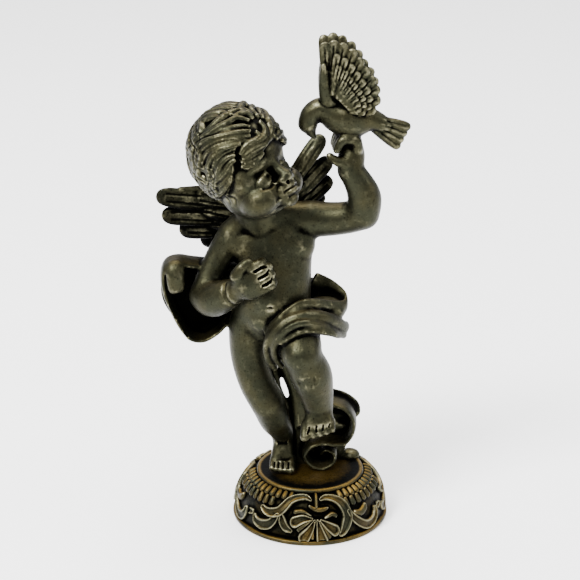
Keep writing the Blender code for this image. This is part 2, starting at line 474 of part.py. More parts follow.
def fall(clay):
    """The end of the sash falls behind the legs, swings out to the left and rolls up on the base."""
    clay.loft(
        [(-2.0, 6.0, 25.0, 4.0, 1.6), (2.5, 4.6, 22.0, 4.6, 1.3), (6.8, 3.6, 20.8, 4.6, 1.1),
         (10.8, 3.0, 19.4, 4.6, 1.0),
         (13.2, 2.8, 15.8, 4.6, 1.0), (13.0, 2.6, 11.6, 4.6, 1.0), (10.8, 2.2, 8.6, 4.6, 1.0),
         (8.0, 1.6, 8.2, 4.6, 1.0),
         (3.8, 1.2, 8.6, 4.4, 1.0), (0.2, 1.0, 7.6, 4.4, 1.0), (-1.6, 1.0, 4.4, 4.4, 1.0), (0.0, 1.0, 1.4, 4.4, 1.0),
         (3.6, 1.0, 0.2, 4.4, 1.0), (7.0, 1.2, 1.8, 4.2, 0.9), (7.4, 1.6, 4.6, 3.8, 0.8), (5.0, 2.0, 5.8, 3.4, 0.8),
         (3.4, 2.4, 4.0, 3.0, 0.7)],
        across=(0.0, 1.0, 0.0), steps=5,
    )
    clay.loft(  # the back of both rolls
        [(-2.0, 7.0, 24.0, 4.0, 1.6), (4.0, 7.0, 18.0, 6.6, 1.3), (10.0, 7.4, 15.0, 6.6, 1.2),
         (12.4, 7.6, 12.0, 4.0, 1.0)],
        across=(0.5, 0.0, 0.9),
    )
    clay.loft([(10.0, 6.4, 12.0, 3.6, 1.2), (7.0, 6.2, 5.0, 4.6, 1.3), (3.0, 6.0, 0.0, 5.4, 1.6)],
              across=(1.0, 0.0, 0.0))
    # The folds between the legs, with an opening between them
    clay.loft(
        [(-12.6, 5.0, 45.0, 5.4, 2.0), (-12.2, 4.6, 38.0, 4.0, 2.0), (-11.6, 3.6, 30.0, 2.4, 1.7),
         (-10.4, 3.6, 24.0, 1.9, 1.6),
         (-7.6, 4.6, 16.0, 2.6, 2.0), (-5.0, 5.6, 8.0, 4.0, 2.6), (-2.6, 5.4, 3.0, 4.6, 3.0),
         (-1.5, 5.2, -1.5, 4.8, 3.2)],
        across=(1.0, 0.2, 0.0),
    )
    clay.loft(
        [(-8.0, 4.5, 46.0, 4.6, 2.0), (-8.4, 3.6, 38.0, 3.4, 1.8), (-7.4, 3.4, 31.0, 2.0, 1.6),
         (-4.8, 4.4, 23.0, 2.0, 1.7),
         (-3.0, 5.4, 12.0, 3.6, 2.2)],
        across=(1.0, 0.1, 0.0),
    )
    clay.loft([(-4.0, 5.4, 26.0, 1.6, 1.2), (-1.6, 6.4, 20.0, 3.6, 1.8), (-1.0, 6.4, 12.0, 5.0, 2.2)],
              across=(1.0, 0.2, 0.0))
    clay.ball((12.4, 7.6, 0.4), (3.4, 3.0, 1.9))  # the ground under the fall


def add_object(name, mesh, colour):
    obj = bpy.data.objects.new(name, mesh)
    bpy.context.scene.collection.objects.link(obj)
    material = bpy.data.materials.new(name + "_metal")
    material.use_nodes = True
    shader = material.node_tree.nodes["Principled BSDF"]
    shader.inputs["Base Color"].default_value = colour
    shader.inputs["Metallic"].default_value = 1.0
    shader.inputs["Roughness"].default_value = 0.42
    mesh.materials.append(material)
    return obj


def faces_left(obj):
    """How many triangles an object has once its modifiers are on."""
    shown = obj.evaluated_get(bpy.context.evaluated_depsgraph_get()).data
    return sum(len(face.vertices) - 2 for face in shown.polygons)


def add_seat_cutter():
    """A block below the figure that cuts its sole flat, a hair above the platform."""
    size = FIGURE_HEIGHT
    mesh = bpy.data.meshes.new("seat_cutter")
    form = bmesh.new()
    bmesh.ops.create_cube(form, size=size)
    form.to_mesh(mesh)
    form.free()
    cutter = bpy.data.objects.new("seat_cutter", mesh)
    bpy.context.scene.collection.objects.link(cutter)
    cutter.location.z = BASE_HEIGHT + SEAT_GAP - size / 2
    cutter.hide_render = True
    cutter.display_type = "WIRE"
    return cutter


FIGURE_PARTS = (
    torso, arms, legs, skull, face, hair, fingers, toes, wings, bird_body, bird_feathers, thigh_cloth, swag, fall
)


def build_figure():
    """The child, its wings, sash and bird, fused into one casting."""
    clay = Clay()
    for part in FIGURE_PARTS:
        part(clay)
    unit = FIGURE_HEIGHT / FIGURE_UNITS
    bmesh.ops.transform(clay.mesh, matrix=Matrix.Scale(unit, 4), verts=clay.mesh.verts)
    bmesh.ops.recalc_face_normals(clay.mesh, faces=clay.mesh.faces)
    mesh = bpy.data.meshes.new("cherub")
    clay.mesh.to_mesh(mesh)
    clay.mesh.free()
    figure = add_object("cherub", mesh, PEWTER)
    figure.location.z = BASE_HEIGHT
    fuse = figure.modifiers.new("Fuse", "REMESH")
    fuse.mode = "VOXEL"
    fuse.voxel_size = FIGURE_VOXEL * FIGURE_HEIGHT
    soften = figure.modifiers.new("Soften", "SMOOTH")
    soften.iterations = 1
    facet = figure.modifiers.new("Facet", "DECIMATE")
    facet.ratio = FIGURE_FACES / faces_left(figure)
    seat = figure.modifiers.new("Seat", "BOOLEAN")
    seat.operation = "DIFFERENCE"
    seat.object = add_seat_cutter()
    return figure


def skirt_place(share):
    """The radius, the height and the outward direction of the uncarved skirt, at a share of the way down it."""
    rise = (1.0 - share) * math.pi / 2
    top_radius, low = PLATFORM_RADIUS - NECK_SETBACK, FLANGE_THICKNESS
    width = BASE_RADIUS - SKIRT_SETBACK - top_radius
    height = BASE_HEIGHT - PLATFORM_THICKNESS - low
    outward = Vector((height * math.cos(rise), width * math.sin(rise))).normalized()
    return top_radius + width * math.cos(rise), low + height * math.sin(rise), outward


SKIRT_SLOPE = 0.0146  # the length of the skirt's curve, from the platform down to the flange


# The scrolls and the shell of a panel: each line's height, as a share of RELIEF_HEIGHT, and its points, which are
# degrees from the panel's middle, a share of the way down and a half width in tenths of a millimetre.
PANEL_LINES = (
    (1.0, [(-5.0, 0.27, 3), (-9.7, 0.20, 8), (-16.4, 0.22, 10), (-23.0, 0.31, 11), (-26.8, 0.44, 12),
        (-31.0, 0.55, 12), (-37.0, 0.60, 11), (-42.3, 0.60, 9), (-46.0, 0.56, 6)]),
    (1.0, [(4.0, 0.26, 4), (9.0, 0.22, 8), (15.8, 0.27, 10), (21.0, 0.37, 12), (24.0, 0.52, 13),
        (24.7, 0.66, 14), (22.4, 0.78, 13), (20.0, 0.87, 10), (17.7, 0.92, 5)]),
    (0.85, [(-53.0, 0.75, 4), (-50.8, 0.83, 9), (-44.7, 0.85, 11), (-38.0, 0.80, 11), (-34.0, 0.70, 9),
        (-32.0, 0.62, 5)]),
    (0.9, [(-28.2, 0.63, 6), (-26.8, 0.72, 10), (-24.0, 0.80, 9), (-20.3, 0.84, 5)]),
    (0.85, [(27.0, 0.58, 6), (30.4, 0.71, 9), (35.7, 0.82, 10), (42.8, 0.91, 10), (50.3, 0.90, 10),
        (54.3, 0.82, 9), (55.2, 0.72, 5)]),
    (0.8, [(32.7, 0.63, 6), (38.0, 0.67, 9), (43.0, 0.63, 9), (44.3, 0.58, 6)]),
    (0.9, [(0.0, 0.10, 5), (0.0, 0.28, 6), (-0.3, 0.41, 5)]),
    (0.7, [(-6.0, 0.39, 4), (-3.0, 0.44, 6), (2.0, 0.47, 7), (7.0, 0.46, 6), (9.3, 0.44, 3)]),
    (1.0, [(0.3, 0.66, 3), (2.0, 0.84, 10), (3.7, 1.00, 16)]),
    (1.0, [(-2.0, 0.66, 3), (-6.0, 0.82, 10), (-10.0, 0.94, 15)]),
    (0.95, [(-4.0, 0.63, 3), (-11.0, 0.63, 10), (-17.3, 0.69, 13)]),
    (0.7, [(-5.0, 0.57, 2), (-12.0, 0.50, 6), (-17.3, 0.52, 7)]),
    (1.0, [(3.0, 0.66, 3), (8.0, 0.75, 9), (13.3, 0.84, 13)]),
    (0.75, [(2.0, 0.67, 2), (6.0, 0.81, 6), (9.0, 0.93, 8)]),
    (0.75, [(-2.3, 0.68, 2), (-3.2, 0.82, 4), (-3.7, 0.94, 6)]),
    (0.75, [(-4.0, 0.65, 2), (-10.0, 0.74, 6), (-14.0, 0.81, 7)]),
    (0.8, [(6.3, 0.62, 3), (12.0, 0.57, 6), (15.0, 0.60, 6)]),
    (0.7, [(-73.0, 0.63, 4), (-66.4, 0.73, 9), (-56.8, 0.72, 6)]),
)


def tooth_lines():
    """Two rows of teeth below the platform, on both sides of the scrolls."""
    for side in (-1, 1):
        for k in range(6):
            across = side * (24.0 + 6.6 * k)
            yield 0.75, [(across, 0.10, 7), (across, 0.24, 9)]
            if k > 1 or side > 0:
                yield 0.7, [(across + side * 3.2, 0.33, 7), (across + side * 3.2, 0.44, 9)]


def relief_at(across, down, radius):
    """The carving's height from 0 to 1 on a panel, at degrees from its middle and shares of the way down."""
    height = np.zeros_like(across)
    for top, points in (*PANEL_LINES, *tooth_lines()):
        path = smooth_path(points, 5)
        for start, end in zip(path, path[1:]):
            # Distances in metres on the skirt, to the nearest place of the line's short stretch
            to_x, to_y = np.radians(across - start[0]) * radius, (down - start[1]) * SKIRT_SLOPE
            run_x, run_y = math.radians(end[0] - start[0]) * radius, (end[1] - start[1]) * SKIRT_SLOPE
            share = np.clip((to_x * run_x + to_y * run_y) / np.maximum(run_x**2 + run_y**2, 1e-12), 0.0, 1.0)
            gap = np.hypot(to_x - share * run_x, to_y - share * run_y)
            half_width = (start[2] + (end[2] - start[2]) * share) * 1e-4
            height = np.maximum(height, top * np.sqrt(np.clip(1.0 - (gap / half_width) ** 2, 0.0, 1.0)))
    return height


def build_base():
    """The base, turned from its profile and then carved on the skirt."""
    rows, segments = 30, 400
    edge = FLANGE_THICKNESS * 0.35
    profile = [
        (0.0, 0.0), (BASE_RADIUS - edge, 0.0), (BASE_RADIUS, edge), (BASE_RADIUS, FLANGE_THICKNESS - edge),
        (BASE_RADIUS - edge, FLANGE_THICKNESS),
    ]
    profile += [skirt_place(1.0 - k / rows)[:2] for k in range(rows + 1)]
    lip = [math.radians(-60 + 30 * k) for k in range(6)]
    half = PLATFORM_THICKNESS / 2
    profile += [(PLATFORM_RADIUS - half + half * math.cos(a), BASE_HEIGHT - half + half * math.sin(a)) for a in lip]
    profile += [(PLATFORM_RADIUS * 0.9, BASE_HEIGHT - half * 0.25), (0.0, BASE_HEIGHT - half * 0.25)]
    form = bmesh.new()
    verts = [form.verts.new((r, 0.0, z)) for r, z in profile]
    edges = [form.edges.new(pair) for pair in zip(verts, verts[1:])]
    bmesh.ops.spin(
        form, geom=verts + edges, cent=(0, 0, 0), axis=(0, 0, 1), angle=2 * math.pi, steps=segments, use_merge=True
    )
    bmesh.ops.remove_doubles(form, verts=form.verts, dist=1e-7)
    bmesh.ops.recalc_face_normals(form, faces=form.faces)
    carve_skirt(form, rows)
    mesh = bpy.data.meshes.new("base")
    form.to_mesh(mesh)
    form.free()
    base = add_object("base", mesh, DARK_PEWTER)
    facet = base.modifiers.new("Facet", "DECIMATE")
    facet.ratio = BASE_FACES / faces_left(base)
    return base


def carve_skirt(form, rows):
    """Moves each ring of the skirt's points out by the carving's height."""
    for k in range(1, rows):
        down = k / rows
        radius, height, outward = skirt_place(down)
        ring = [v for v in form.verts if abs(v.co.z - height) < 1e-7 and abs(v.co.xy.length - radius) < 1e-6]
        angles = np.degrees([math.atan2(v.co.x, -v.co.y) for v in ring]) - PANEL_TURN
        panel = 360.0 / PANELS
        across = (angles + panel / 2) % panel - panel / 2
        lift = relief_at(across, np.full_like(across, down), radius) * RELIEF_HEIGHT
        for vert, out in zip(ring, lift):
            radial = vert.co.xy.normalized()
            vert.co += Vector((radial.x * outward.x, radial.y * outward.x, outward.y)) * out


def build():
    for obj in list(bpy.data.objects):
        bpy.data.objects.remove(obj)
    build_base()
    build_figure()


build()
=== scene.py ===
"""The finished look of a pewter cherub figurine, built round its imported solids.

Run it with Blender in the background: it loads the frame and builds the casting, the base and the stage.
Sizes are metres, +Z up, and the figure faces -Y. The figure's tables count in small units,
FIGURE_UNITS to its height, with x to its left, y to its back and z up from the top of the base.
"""

import json
import math

import bmesh
import bpy
import numpy as np
from mathutils import Matrix, Vector
from mathutils.bvhtree import BVHTree

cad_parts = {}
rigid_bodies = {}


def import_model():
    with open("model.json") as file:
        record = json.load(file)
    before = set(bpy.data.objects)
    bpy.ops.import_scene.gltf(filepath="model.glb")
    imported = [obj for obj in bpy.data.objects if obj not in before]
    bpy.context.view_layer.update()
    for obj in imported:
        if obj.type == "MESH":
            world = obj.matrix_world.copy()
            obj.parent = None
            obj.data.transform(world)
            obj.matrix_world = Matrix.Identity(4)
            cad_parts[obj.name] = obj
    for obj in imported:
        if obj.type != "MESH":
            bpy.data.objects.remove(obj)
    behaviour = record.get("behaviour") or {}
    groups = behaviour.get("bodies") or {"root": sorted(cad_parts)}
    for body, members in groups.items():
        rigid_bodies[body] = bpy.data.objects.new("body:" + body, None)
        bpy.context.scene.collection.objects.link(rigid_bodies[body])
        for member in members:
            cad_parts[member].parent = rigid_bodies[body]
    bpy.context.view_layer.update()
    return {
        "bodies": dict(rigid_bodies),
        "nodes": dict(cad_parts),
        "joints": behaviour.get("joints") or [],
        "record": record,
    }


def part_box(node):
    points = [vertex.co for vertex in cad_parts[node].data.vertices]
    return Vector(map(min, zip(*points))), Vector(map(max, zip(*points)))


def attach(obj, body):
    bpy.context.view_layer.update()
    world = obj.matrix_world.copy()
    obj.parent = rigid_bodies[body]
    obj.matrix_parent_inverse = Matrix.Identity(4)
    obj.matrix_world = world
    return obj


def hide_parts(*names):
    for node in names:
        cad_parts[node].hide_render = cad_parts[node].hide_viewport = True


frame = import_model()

bl_info = {
    "name": "Pewter cherub figurine",
    "version": (1, 0, 0),
    "blender": (4, 5, 0),
    "location": "3D View > Sidebar > Cherub",
    "description": "Builds the finished pieces of a pewter cherub figurine and its stage",
    "category": "Add Mesh",
}

BASE_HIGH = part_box("base")[1]
FIGURE_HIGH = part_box("cherub")[1]
FIGURE_UNITS = 136.0  # the figure's height, in the units of its tables


def hex_colour(text):
    """A linear colour from an sRGB hex value."""
    parts = [int(text[k : k + 2], 16) / 255 for k in (1, 3, 5)]
    return tuple(c / 12.92 if c <= 0.04045 else ((c + 0.055) / 1.055) ** 2.4 for c in parts)


def length(name, description, default):
    return bpy.props.FloatProperty(name=name, description=description, default=default, unit="LENGTH")


def colour(name, description, default):
    return bpy.props.FloatVectorProperty(
        name=name, description=description, subtype="COLOR", default=hex_colour(default)
    )


class FigurineSizes(bpy.types.PropertyGroup):
    figure_height: length(
        "Figure height", "From the top of the base to the tip of the bird's wing", FIGURE_HIGH.z - BASE_HIGH.z
    )
    base_radius: length("Base radius", "Radius of the plain flange round the foot", BASE_HIGH.x)
    base_height: length("Base height", "From the underside to the platform", BASE_HIGH.z)
    flange_thickness: length("Flange thickness", "Height of the plain flange", 0.0013)
    platform_radius: length("Platform radius", "Radius of the round platform", 0.0166)
    platform_thickness: length("Platform thickness", "Height of the platform's rim", 0.0016)
    relief_height: length("Relief height", "How far the carving stands out from the skirt", 0.0015)
    skin_voxel: bpy.props.FloatProperty(
        name="Skin voxel", description="Fineness of the figure's skin, in figure units", default=0.29, min=0.2
    )
    figure_faces: bpy.props.IntProperty(
        name="Figure triangles", description="Triangles that the finished figure is thinned to", default=192000
    )


class FigurineColours(bpy.types.PropertyGroup):
    metal: colour("Metal", "Dull pewter on the open surfaces", "#292a1f")
    worn: colour("Worn metal", "Rubbed edges and high places", "#8a866a")
    # Also the colour of the painted shade in sheltered places, under downward faces and behind the body, besides the
    # real antiquing in the hollows.
    patina_and_shade: colour("Patina", "Black antiquing left in the hollows", "#030302")
    tarnish: colour("Tarnish", "Brown gold tint in soft patches", "#463c20")
    gilt: colour("Gilt", "Brown gold wash of the base", "#655022")
    floor: colour("Floor", "The pale floor", "#ffffff")


# --- Clay: closed shells that overlap, and the curves that they follow ---


def vec(*xyz):
    return Vector(xyz)


def smooth_path(stations, steps):
    """A Catmull-Rom curve through stations, which may carry radii after their x, y and z."""
    knots = np.array([stations[0], *stations, stations[-1]], float)
    rows = []
    for i in range(1, len(knots) - 2):
        a, b, c, d = knots[i - 1 : i + 3]
        for t in np.arange(steps) / steps:
            rows.append(
                0.5 * (2 * b + (c - a) * t + (2 * a - 5 * b + 4 * c - d) * t**2 + (3 * b - a - 3 * c + d) * t**3)
            )
    rows.append(knots[-2])
    return np.array(rows)


class Clay:
    """Closed shells gathered in one mesh, on top of the start mesh, before they are fused."""

    def __init__(self, start):
        self.mesh = bmesh.new()
        self.mesh.from_mesh(start)
        self.lines = []  # strokes to carve once the shells are one skin

    def ball(self, centre, radii, frame=None, fineness=4):
        """An ellipsoid. frame holds the directions of its three radii as columns."""
        turn = frame.to_4x4() if frame else Matrix.Identity(4)
        size = Matrix.Diagonal((*radii, 1.0)) if hasattr(radii, "__len__") else Matrix.Scale(radii, 4)
        place = Matrix.Translation(centre) @ turn @ size
        bmesh.ops.create_icosphere(self.mesh, subdivisions=fineness, radius=1.0, matrix=place)

    def loft(self, stations, across=(0.0, 1.0, 0.0), out_from=None, steps=6, sides=16):
        """A closed tube through stations of x, y, z, half width and half thickness.

        The width lies along across, as nearly as the path lets it. With out_from, the thickness points away
        from that centre instead, as on a lock of hair round a head.
        """
        rows = smooth_path([s if len(s) == 5 else (*s, s[3]) for s in stations], steps)
        places = rows[:, :3]
        tangents = np.gradient(places, axis=0)
        angles = [2 * math.pi * k / sides for k in range(sides)]
        rings = []
        for place, tangent, half in zip(places, tangents, rows[:, 3:]):
            place, along = Vector(place), Vector(tangent).normalized()
            side = along.cross(place - Vector(out_from)) if out_from else Vector(across)
            side -= along * along.dot(side)
            side = side.normalized() if side.length > 1e-6 else along.orthogonal().normalized()
            face = along.cross(side)
            wide, thick = side * max(half[0], 0.02), face * max(half[1], 0.02)
            rings.append([self.mesh.verts.new(place + wide * math.cos(a) + thick * math.sin(a)) for a in angles])
        for low, high in zip(rings, rings[1:]):
            for k in range(sides):
                n = (k + 1) % sides
                self.mesh.faces.new((low[k], low[n], high[n], high[k]))
        self.mesh.faces.new(rings[0][::-1])
        self.mesh.faces.new(rings[-1])

    def tube(self, stations, **shape):
        """A round limb with a ball at each end, through stations of x, y, z and radius."""
        self.loft(stations, **shape)
        for x, y, z, radius in (stations[0], stations[-1]):
            self.ball((x, y, z), radius, fineness=3)


def frame_of(forward, up):
    """A frame with columns forward, left and up, for a head, a hand or a bird."""
    f = Vector(forward).normalized()
    u = (Vector(up) - f * f.dot(Vector(up))).normalized()
    return Matrix((f, u.cross(f), u)).transposed()


def spaced(first, last, count):
    """Points on the straight line from first to last."""
    return [Vector(first).lerp(Vector(last), k / max(count - 1, 1)) for k in range(count)]


# --- The figure's pose, in its own units ---

NECK = (-14.5, 1.5, 80)
RIGHT_SHOULDER = (-23, 2, 75.5)
RIGHT_ELBOW = (-31.7, -2.5, 57.8)
RIGHT_WRIST = (-21.5, -10.5, 62.7)
LEFT_SHOULDER = (0.4, 2.5, 80.2)
LEFT_ELBOW = (15.3, -1.5, 83.2)
LEFT_WRIST = (11.2, -3.2, 97)
HEAD = (-19.1, -4, 93.8)  # between the ears
HEAD_FRAME = frame_of((0.675, -0.546, 0.497), (-0.492, 0.169, 0.854))  # it looks up at the bird
RIGHT_HIP = (-18.6, 1, 47.5)
RIGHT_KNEE = (-12.9, -3.5, 23)
RIGHT_ANKLE = (-8.4, 2.8, 8.4)
LEFT_HIP = (-5.5, 0.5, 48.5)
LEFT_KNEE = (-2.8, -12, 42.2)
LEFT_ANKLE = (2.6, -7.5, 23.5)
PALM = Vector((-17.6, -12.6, 66))
PALM_FRAME = frame_of((0.86, 0.12, 0.50), (0.10, -0.97, 0.10))


def on_head(forward, left, up):
    """A place on the head, measured from its middle along its own forward, left and up."""
    return Vector(HEAD) + HEAD_FRAME @ vec(forward, left, up)


def head_rows(*rows):
    """Stations on the head, from rows that each hold a place in its own directions and a radius."""
    return [(*on_head(*place), radius) for *place, radius in rows]


def head_stroke(width, depth, *places):
    """A stroke to carve on the head, through places in its own directions."""
    return [on_head(*place) for place in places], width, depth


HAIR_CENTRE, HAIR_RADII = (1.4, 1.3, 8.3), (14.9, 14.2, 14.9)  # the round that the hair fills, on the head

# Each lock's half width, and the places it runs through on the head: forward, left and up from its middle
HAIR_LOCKS = [
    (1.3, [(13.9, 1.9, 16.3), (11.5, 1.6, 19.3), (9.8, -1.4, 20.2), (7.8, -4.9, 20.1), (4.7, -7.9, 19.1),
           (0.1, -9.5, 17.9), (-5.5, -8.8, 16.2)]),
    (1.3, [(14.2, -0.9, 15.5), (12, -2.5, 18), (10.4, -5, 18.2), (8, -7.3, 18.2), (4.8, -9, 17.9),
           (1.2, -9.7, 17.7), (-4.3, -9.3, 16.4), (-8.8, -7.5, 13.9)]),
    (1.2, [(14.7, -2.1, 14), (13.3, -3.7, 15.6), (11.6, -5.6, 16.4), (9.5, -7.5, 16.7), (7, -9.1, 16.7),
           (4, -9.8, 17.3), (0, -10, 17.2), (-3.7, -10, 15.7), (-6.8, -9.6, 13.3)]),
    (1.3, [(14.8, -3.3, 12.8), (13.4, -5.3, 13.9), (11.1, -7.4, 14.9), (8.2, -9.1, 15.8), (4.7, -10.1, 16.5),
           (1.5, -10.6, 16.5), (-1.4, -11, 15.1), (-4, -11.4, 12.3)]),
    (1.2, [(14.7, -4.2, 11.7), (12.8, -6.8, 12.8), (10.4, -8.6, 14.1), (7.4, -10, 15), (4, -11, 15.2),
           (1.2, -11.6, 14.4), (-1.2, -12.1, 12.3), (-3.3, -12, 10.4)]),
    (1.3, [(14, -5.8, 10.9), (12, -8, 12.2), (9.6, -9.7, 13), (6.4, -11.1, 13.7), (3.5, -11.9, 13.5),
           (1.2, -12.4, 12.3), (-0.6, -12.6, 10.8)]),
    (1.2, [(12.7, -7.6, 11), (10.4, -9.6, 11.6), (7.8, -10.9, 12.4), (5.5, -11.9, 12.1), (3.3, -12.5, 11.1),
           (1.5, -12.9, 9.4), (0.9, -12.9, 7.4)]),
    (1.2, [(11.4, -9, 10.6), (9.1, -10.5, 11.1), (6.9, -11.7, 10.9), (4.8, -12.5, 9.8), (2.9, -12.8, 8.1),
           (2.4, -12.8, 6.6)]),
    (1.2, [(10.7, -9.7, 9.1), (8.6, -11.1, 9.3), (6.3, -12.1, 8.7), (4.5, -12.6, 7.4), (2, -12.7, 6.1),
           (-1.3, -12.5, 6)]),
    (1.3, [(10.2, -10.2, 7.8), (8.4, -11.2, 7.5), (6.3, -12, 6.5), (3.4, -12.5, 5.5), (-0.5, -12.4, 5),
           (-5.7, -10.9, 5.4)]),
    (1.2, [(8.6, -11, 6.7), (7.2, -11.4, 5.1), (4.8, -11.9, 4), (0.8, -12, 3.2), (-4.7, -10.7, 3),
           (-8.9, -8.3, 4.3)]),
    (1.2, [(6.8, -11.4, 4.5), (5.1, -11.5, 2.9), (1.4, -11.3, 1.5), (-3.9, -10, 0.9), (-8.1, -7.9, 2.1),
           (-8.7, -8.2, 3.9)]),
    (1.2, [(-5.2, -8.9, 16.2), (-8.8, -7.5, 14), (-9.3, -8.1, 11.6), (-9.4, -8.4, 9)]),
    (1.2, [(-2.5, -11, 14.6), (-5.6, -10.6, 12.5), (-7.9, -9.6, 9.9), (-7.9, -9.7, 7.2), (-9, -8.4, 5.2)]),
    (1, [(-0.9, -12.4, 11.6), (-4.2, -11.8, 9.5), (-5.1, -11.4, 7), (-9.1, -8.4, 5.3)]),
    (1.5, [(14.2, 3.3, 15.6), (13.4, 7.1, 14.8), (14.8, 6.2, 12.4), (15.8, 4.6, 10), (16.3, 1.4, 8.2),
           (16.1, -0.7, 7.6)]),
    (1.3, [(14.5, 6.8, 12.6), (15, 6.9, 10.1), (15.5, 5.9, 8), (16.1, 3.2, 6.7)]),
    (1.4, [(15.2, 1.9, 14), (15.9, 1.7, 11.5), (16.2, -0.2, 9.6), (15.6, -2.8, 9.1), (14.5, -5.4, 9.2),
           (12.9, -7.7, 8.5), (11.9, -8.8, 7.8)]),
    (1.2, [(15.4, -1.8, 12.1), (15.8, -1.8, 10.3), (15.1, -4, 9.7), (14.1, -6, 9.9), (12.7, -7.9, 9.3),
           (11.6, -9, 8.4)]),
    (1.2, [(16.2, 0.1, 7.9), (15.8, -2.3, 7.3), (14.8, -4.9, 7.6), (13.3, -7.3, 7.4), (11.5, -9, 7)]),
    (1.1, [(15.7, -2.3, 6.6), (14.9, -4.4, 6.3), (13.5, -6.8, 6.4), (12, -8.5, 6.2), (10.9, -9.5, 6.3)]),
    (1, [(15.2, -3.4, 5.4), (14.1, -5.4, 4.8), (12.6, -7.5, 5.1), (11.3, -9, 5.5)]),
    (1, [(14, -5.2, 4.4), (12.7, -7.1, 4), (11.2, -8.6, 4.2), (10.3, -9.7, 5.3)]),
    (1.3, [(13.6, 4, 16.3), (12.7, 2.4, 17.9), (11, 2, 19.7), (10, -0.4, 20.3)]),
    (1.2, [(14.5, 0.6, 15.3), (13.2, 0.9, 17.4), (12.2, -0.5, 18.4), (10.9, -2.6, 19)]),
    (1, [(-8.8, -8.2, 4), (-8.4, -8.1, 2.9), (-7.6, -7.5, 0.9), (-6.6, -6.8, -0.9), (0.9, -10.7, 0.4),
         (4.5, -11.2, 1.9)]),
    (0.9, [(-7.6, -7.5, 0.8), (-6.7, -6.9, -0.7), (-5.3, -5.9, -2.7), (-4.3, -5, -3.8)]),
    (0.8, [(-6.6, -6.8, -1), (-5.8, -6.2, -2.2), (-4.6, -5.3, -3.4)]),
]


# --- First clay: the soft masses of the body ---


def torso(clay):
    clay.loft(
        [(-12, 2, 42.5, 9, 6), (-12, 1.6, 47, 11.2, 8.2), (-11.8, 0.8, 52, 11.6, 9), (-11.2, -0.2, 57, 11.3, 9.2),
         (-10.8, 0.4, 62.5, 11, 8.8), (-11, 1.2, 68, 11.4, 8.2), (-11.2, 1.8, 73.5, 12.2, 7.6),
         (-12, 2.2, 78, 11.6, 6.6), (-13, 2.2, 81, 8, 5)],
        across=(1, 0, 0), sides=32,
    )
    clay.ball((-11.2, -2.6, 57), (8.6, 7.6, 8))  # belly
    clay.ball((-12.4, -3, 51.5), (7.6, 6.4, 6))  # lower belly
    for x in (-17.2, -5.8):
        clay.ball((x, 0.2, 73), (7.2, 5.2, 6.2))  # breast
    for x in (-16.9, -6.6):
        clay.ball((x, 6, 48), (6.2, 6, 6.6))  # buttocks
    clay.tube([(*RIGHT_SHOULDER, 4.6), (-18.5, 2.2, 79, 5.4), (*NECK, 6.4), (-6.5, 2.5, 80, 5.6),
               (*LEFT_SHOULDER, 5.5)])
    clay.tube([(*NECK, 6.6), (-16, 0.5, 84.5, 6.8), (-17.5, -1, 90, 7)])


def arms(clay):
    clay.tube([(*RIGHT_SHOULDER, 4.9), (-27, 1.2, 69.5, 4.2), (-30.2, -0.6, 63.5, 3.9), (*RIGHT_ELBOW, 4.6)])
    clay.tube([(*RIGHT_ELBOW, 4.9), (-29.3, -5, 57.4, 5.4), (-25.2, -8.2, 60, 4.8), (*RIGHT_WRIST, 3.6)])
    clay.tube([(*LEFT_SHOULDER, 5.6), (5, 1.6, 80.4, 5.2), (11, 0.2, 81.4, 4.9), (*LEFT_ELBOW, 4.9)])
    clay.tube([(*LEFT_ELBOW, 5), (15.6, -2.2, 88.2, 5.1), (13.8, -2.9, 93, 4.4), (*LEFT_WRIST, 3.8)])
    clay.ball(PALM, (5.7, 5.9, 2.9), PALM_FRAME)
    clay.tube([(*RIGHT_WRIST, 3.6), (*(PALM - PALM_FRAME.col[0] * 2), 3.3)])
    clay.tube([(*LEFT_WRIST, 3.9), (11.6, -2, 101, 4.1), (11.6, -1.2, 103.2, 3.6)])


def foot(clay, ankle, heel, instep, toe_row, girth):
    """The foot behind its toes. toe_row runs from the little toe's root to the big toe's."""
    middle, row = Vector(instep), Vector(toe_row)
    clay.tube([(*ankle, girth * 1.08), (*heel, girth * 0.96)])
    for share in (-0.28, 0, 0.28):
        clay.tube([(*heel, girth * 0.9), (*(middle + row * share), girth * 0.8)])
        clay.tube([(*ankle, girth), (*(middle + row * share), girth * 0.8)])


RIGHT_FOOT = ((-8.2, 4.6, 2.4), (-8.6, -0.4, 2.4), (5.8, 0.6, 0))  # heel, instep and row of toes
LEFT_FOOT = ((2.6, -6, 20.6), (2.4, -10.2, 19.2), (-8.2, -0.2, -1))


def legs(clay):
    clay.tube([(*RIGHT_HIP, 6.4), (-18.7, -0.3, 38.4, 5.8), (-16.6, -2.2, 30, 5.5), (*RIGHT_KNEE, 5.4)])
    clay.tube([(*RIGHT_KNEE, 5.3), (-11, -1.2, 16.6, 4.8), (-9.2, 1.4, 12, 3.9), (*RIGHT_ANKLE, 3.3)])
    foot(clay, RIGHT_ANKLE, *RIGHT_FOOT, 2.9)
    clay.tube([(*LEFT_HIP, 7.4), (-4.4, -5, 46.8, 7.1), (-3.2, -9.5, 44, 6.6), (*LEFT_KNEE, 6)])
    clay.tube([(*LEFT_KNEE, 5.6), (0, -10.2, 35.6, 6.4), (1.6, -8.6, 29, 5.4), (*LEFT_ANKLE, 4.4)])
    foot(clay, LEFT_ANKLE, *LEFT_FOOT, 3.5)


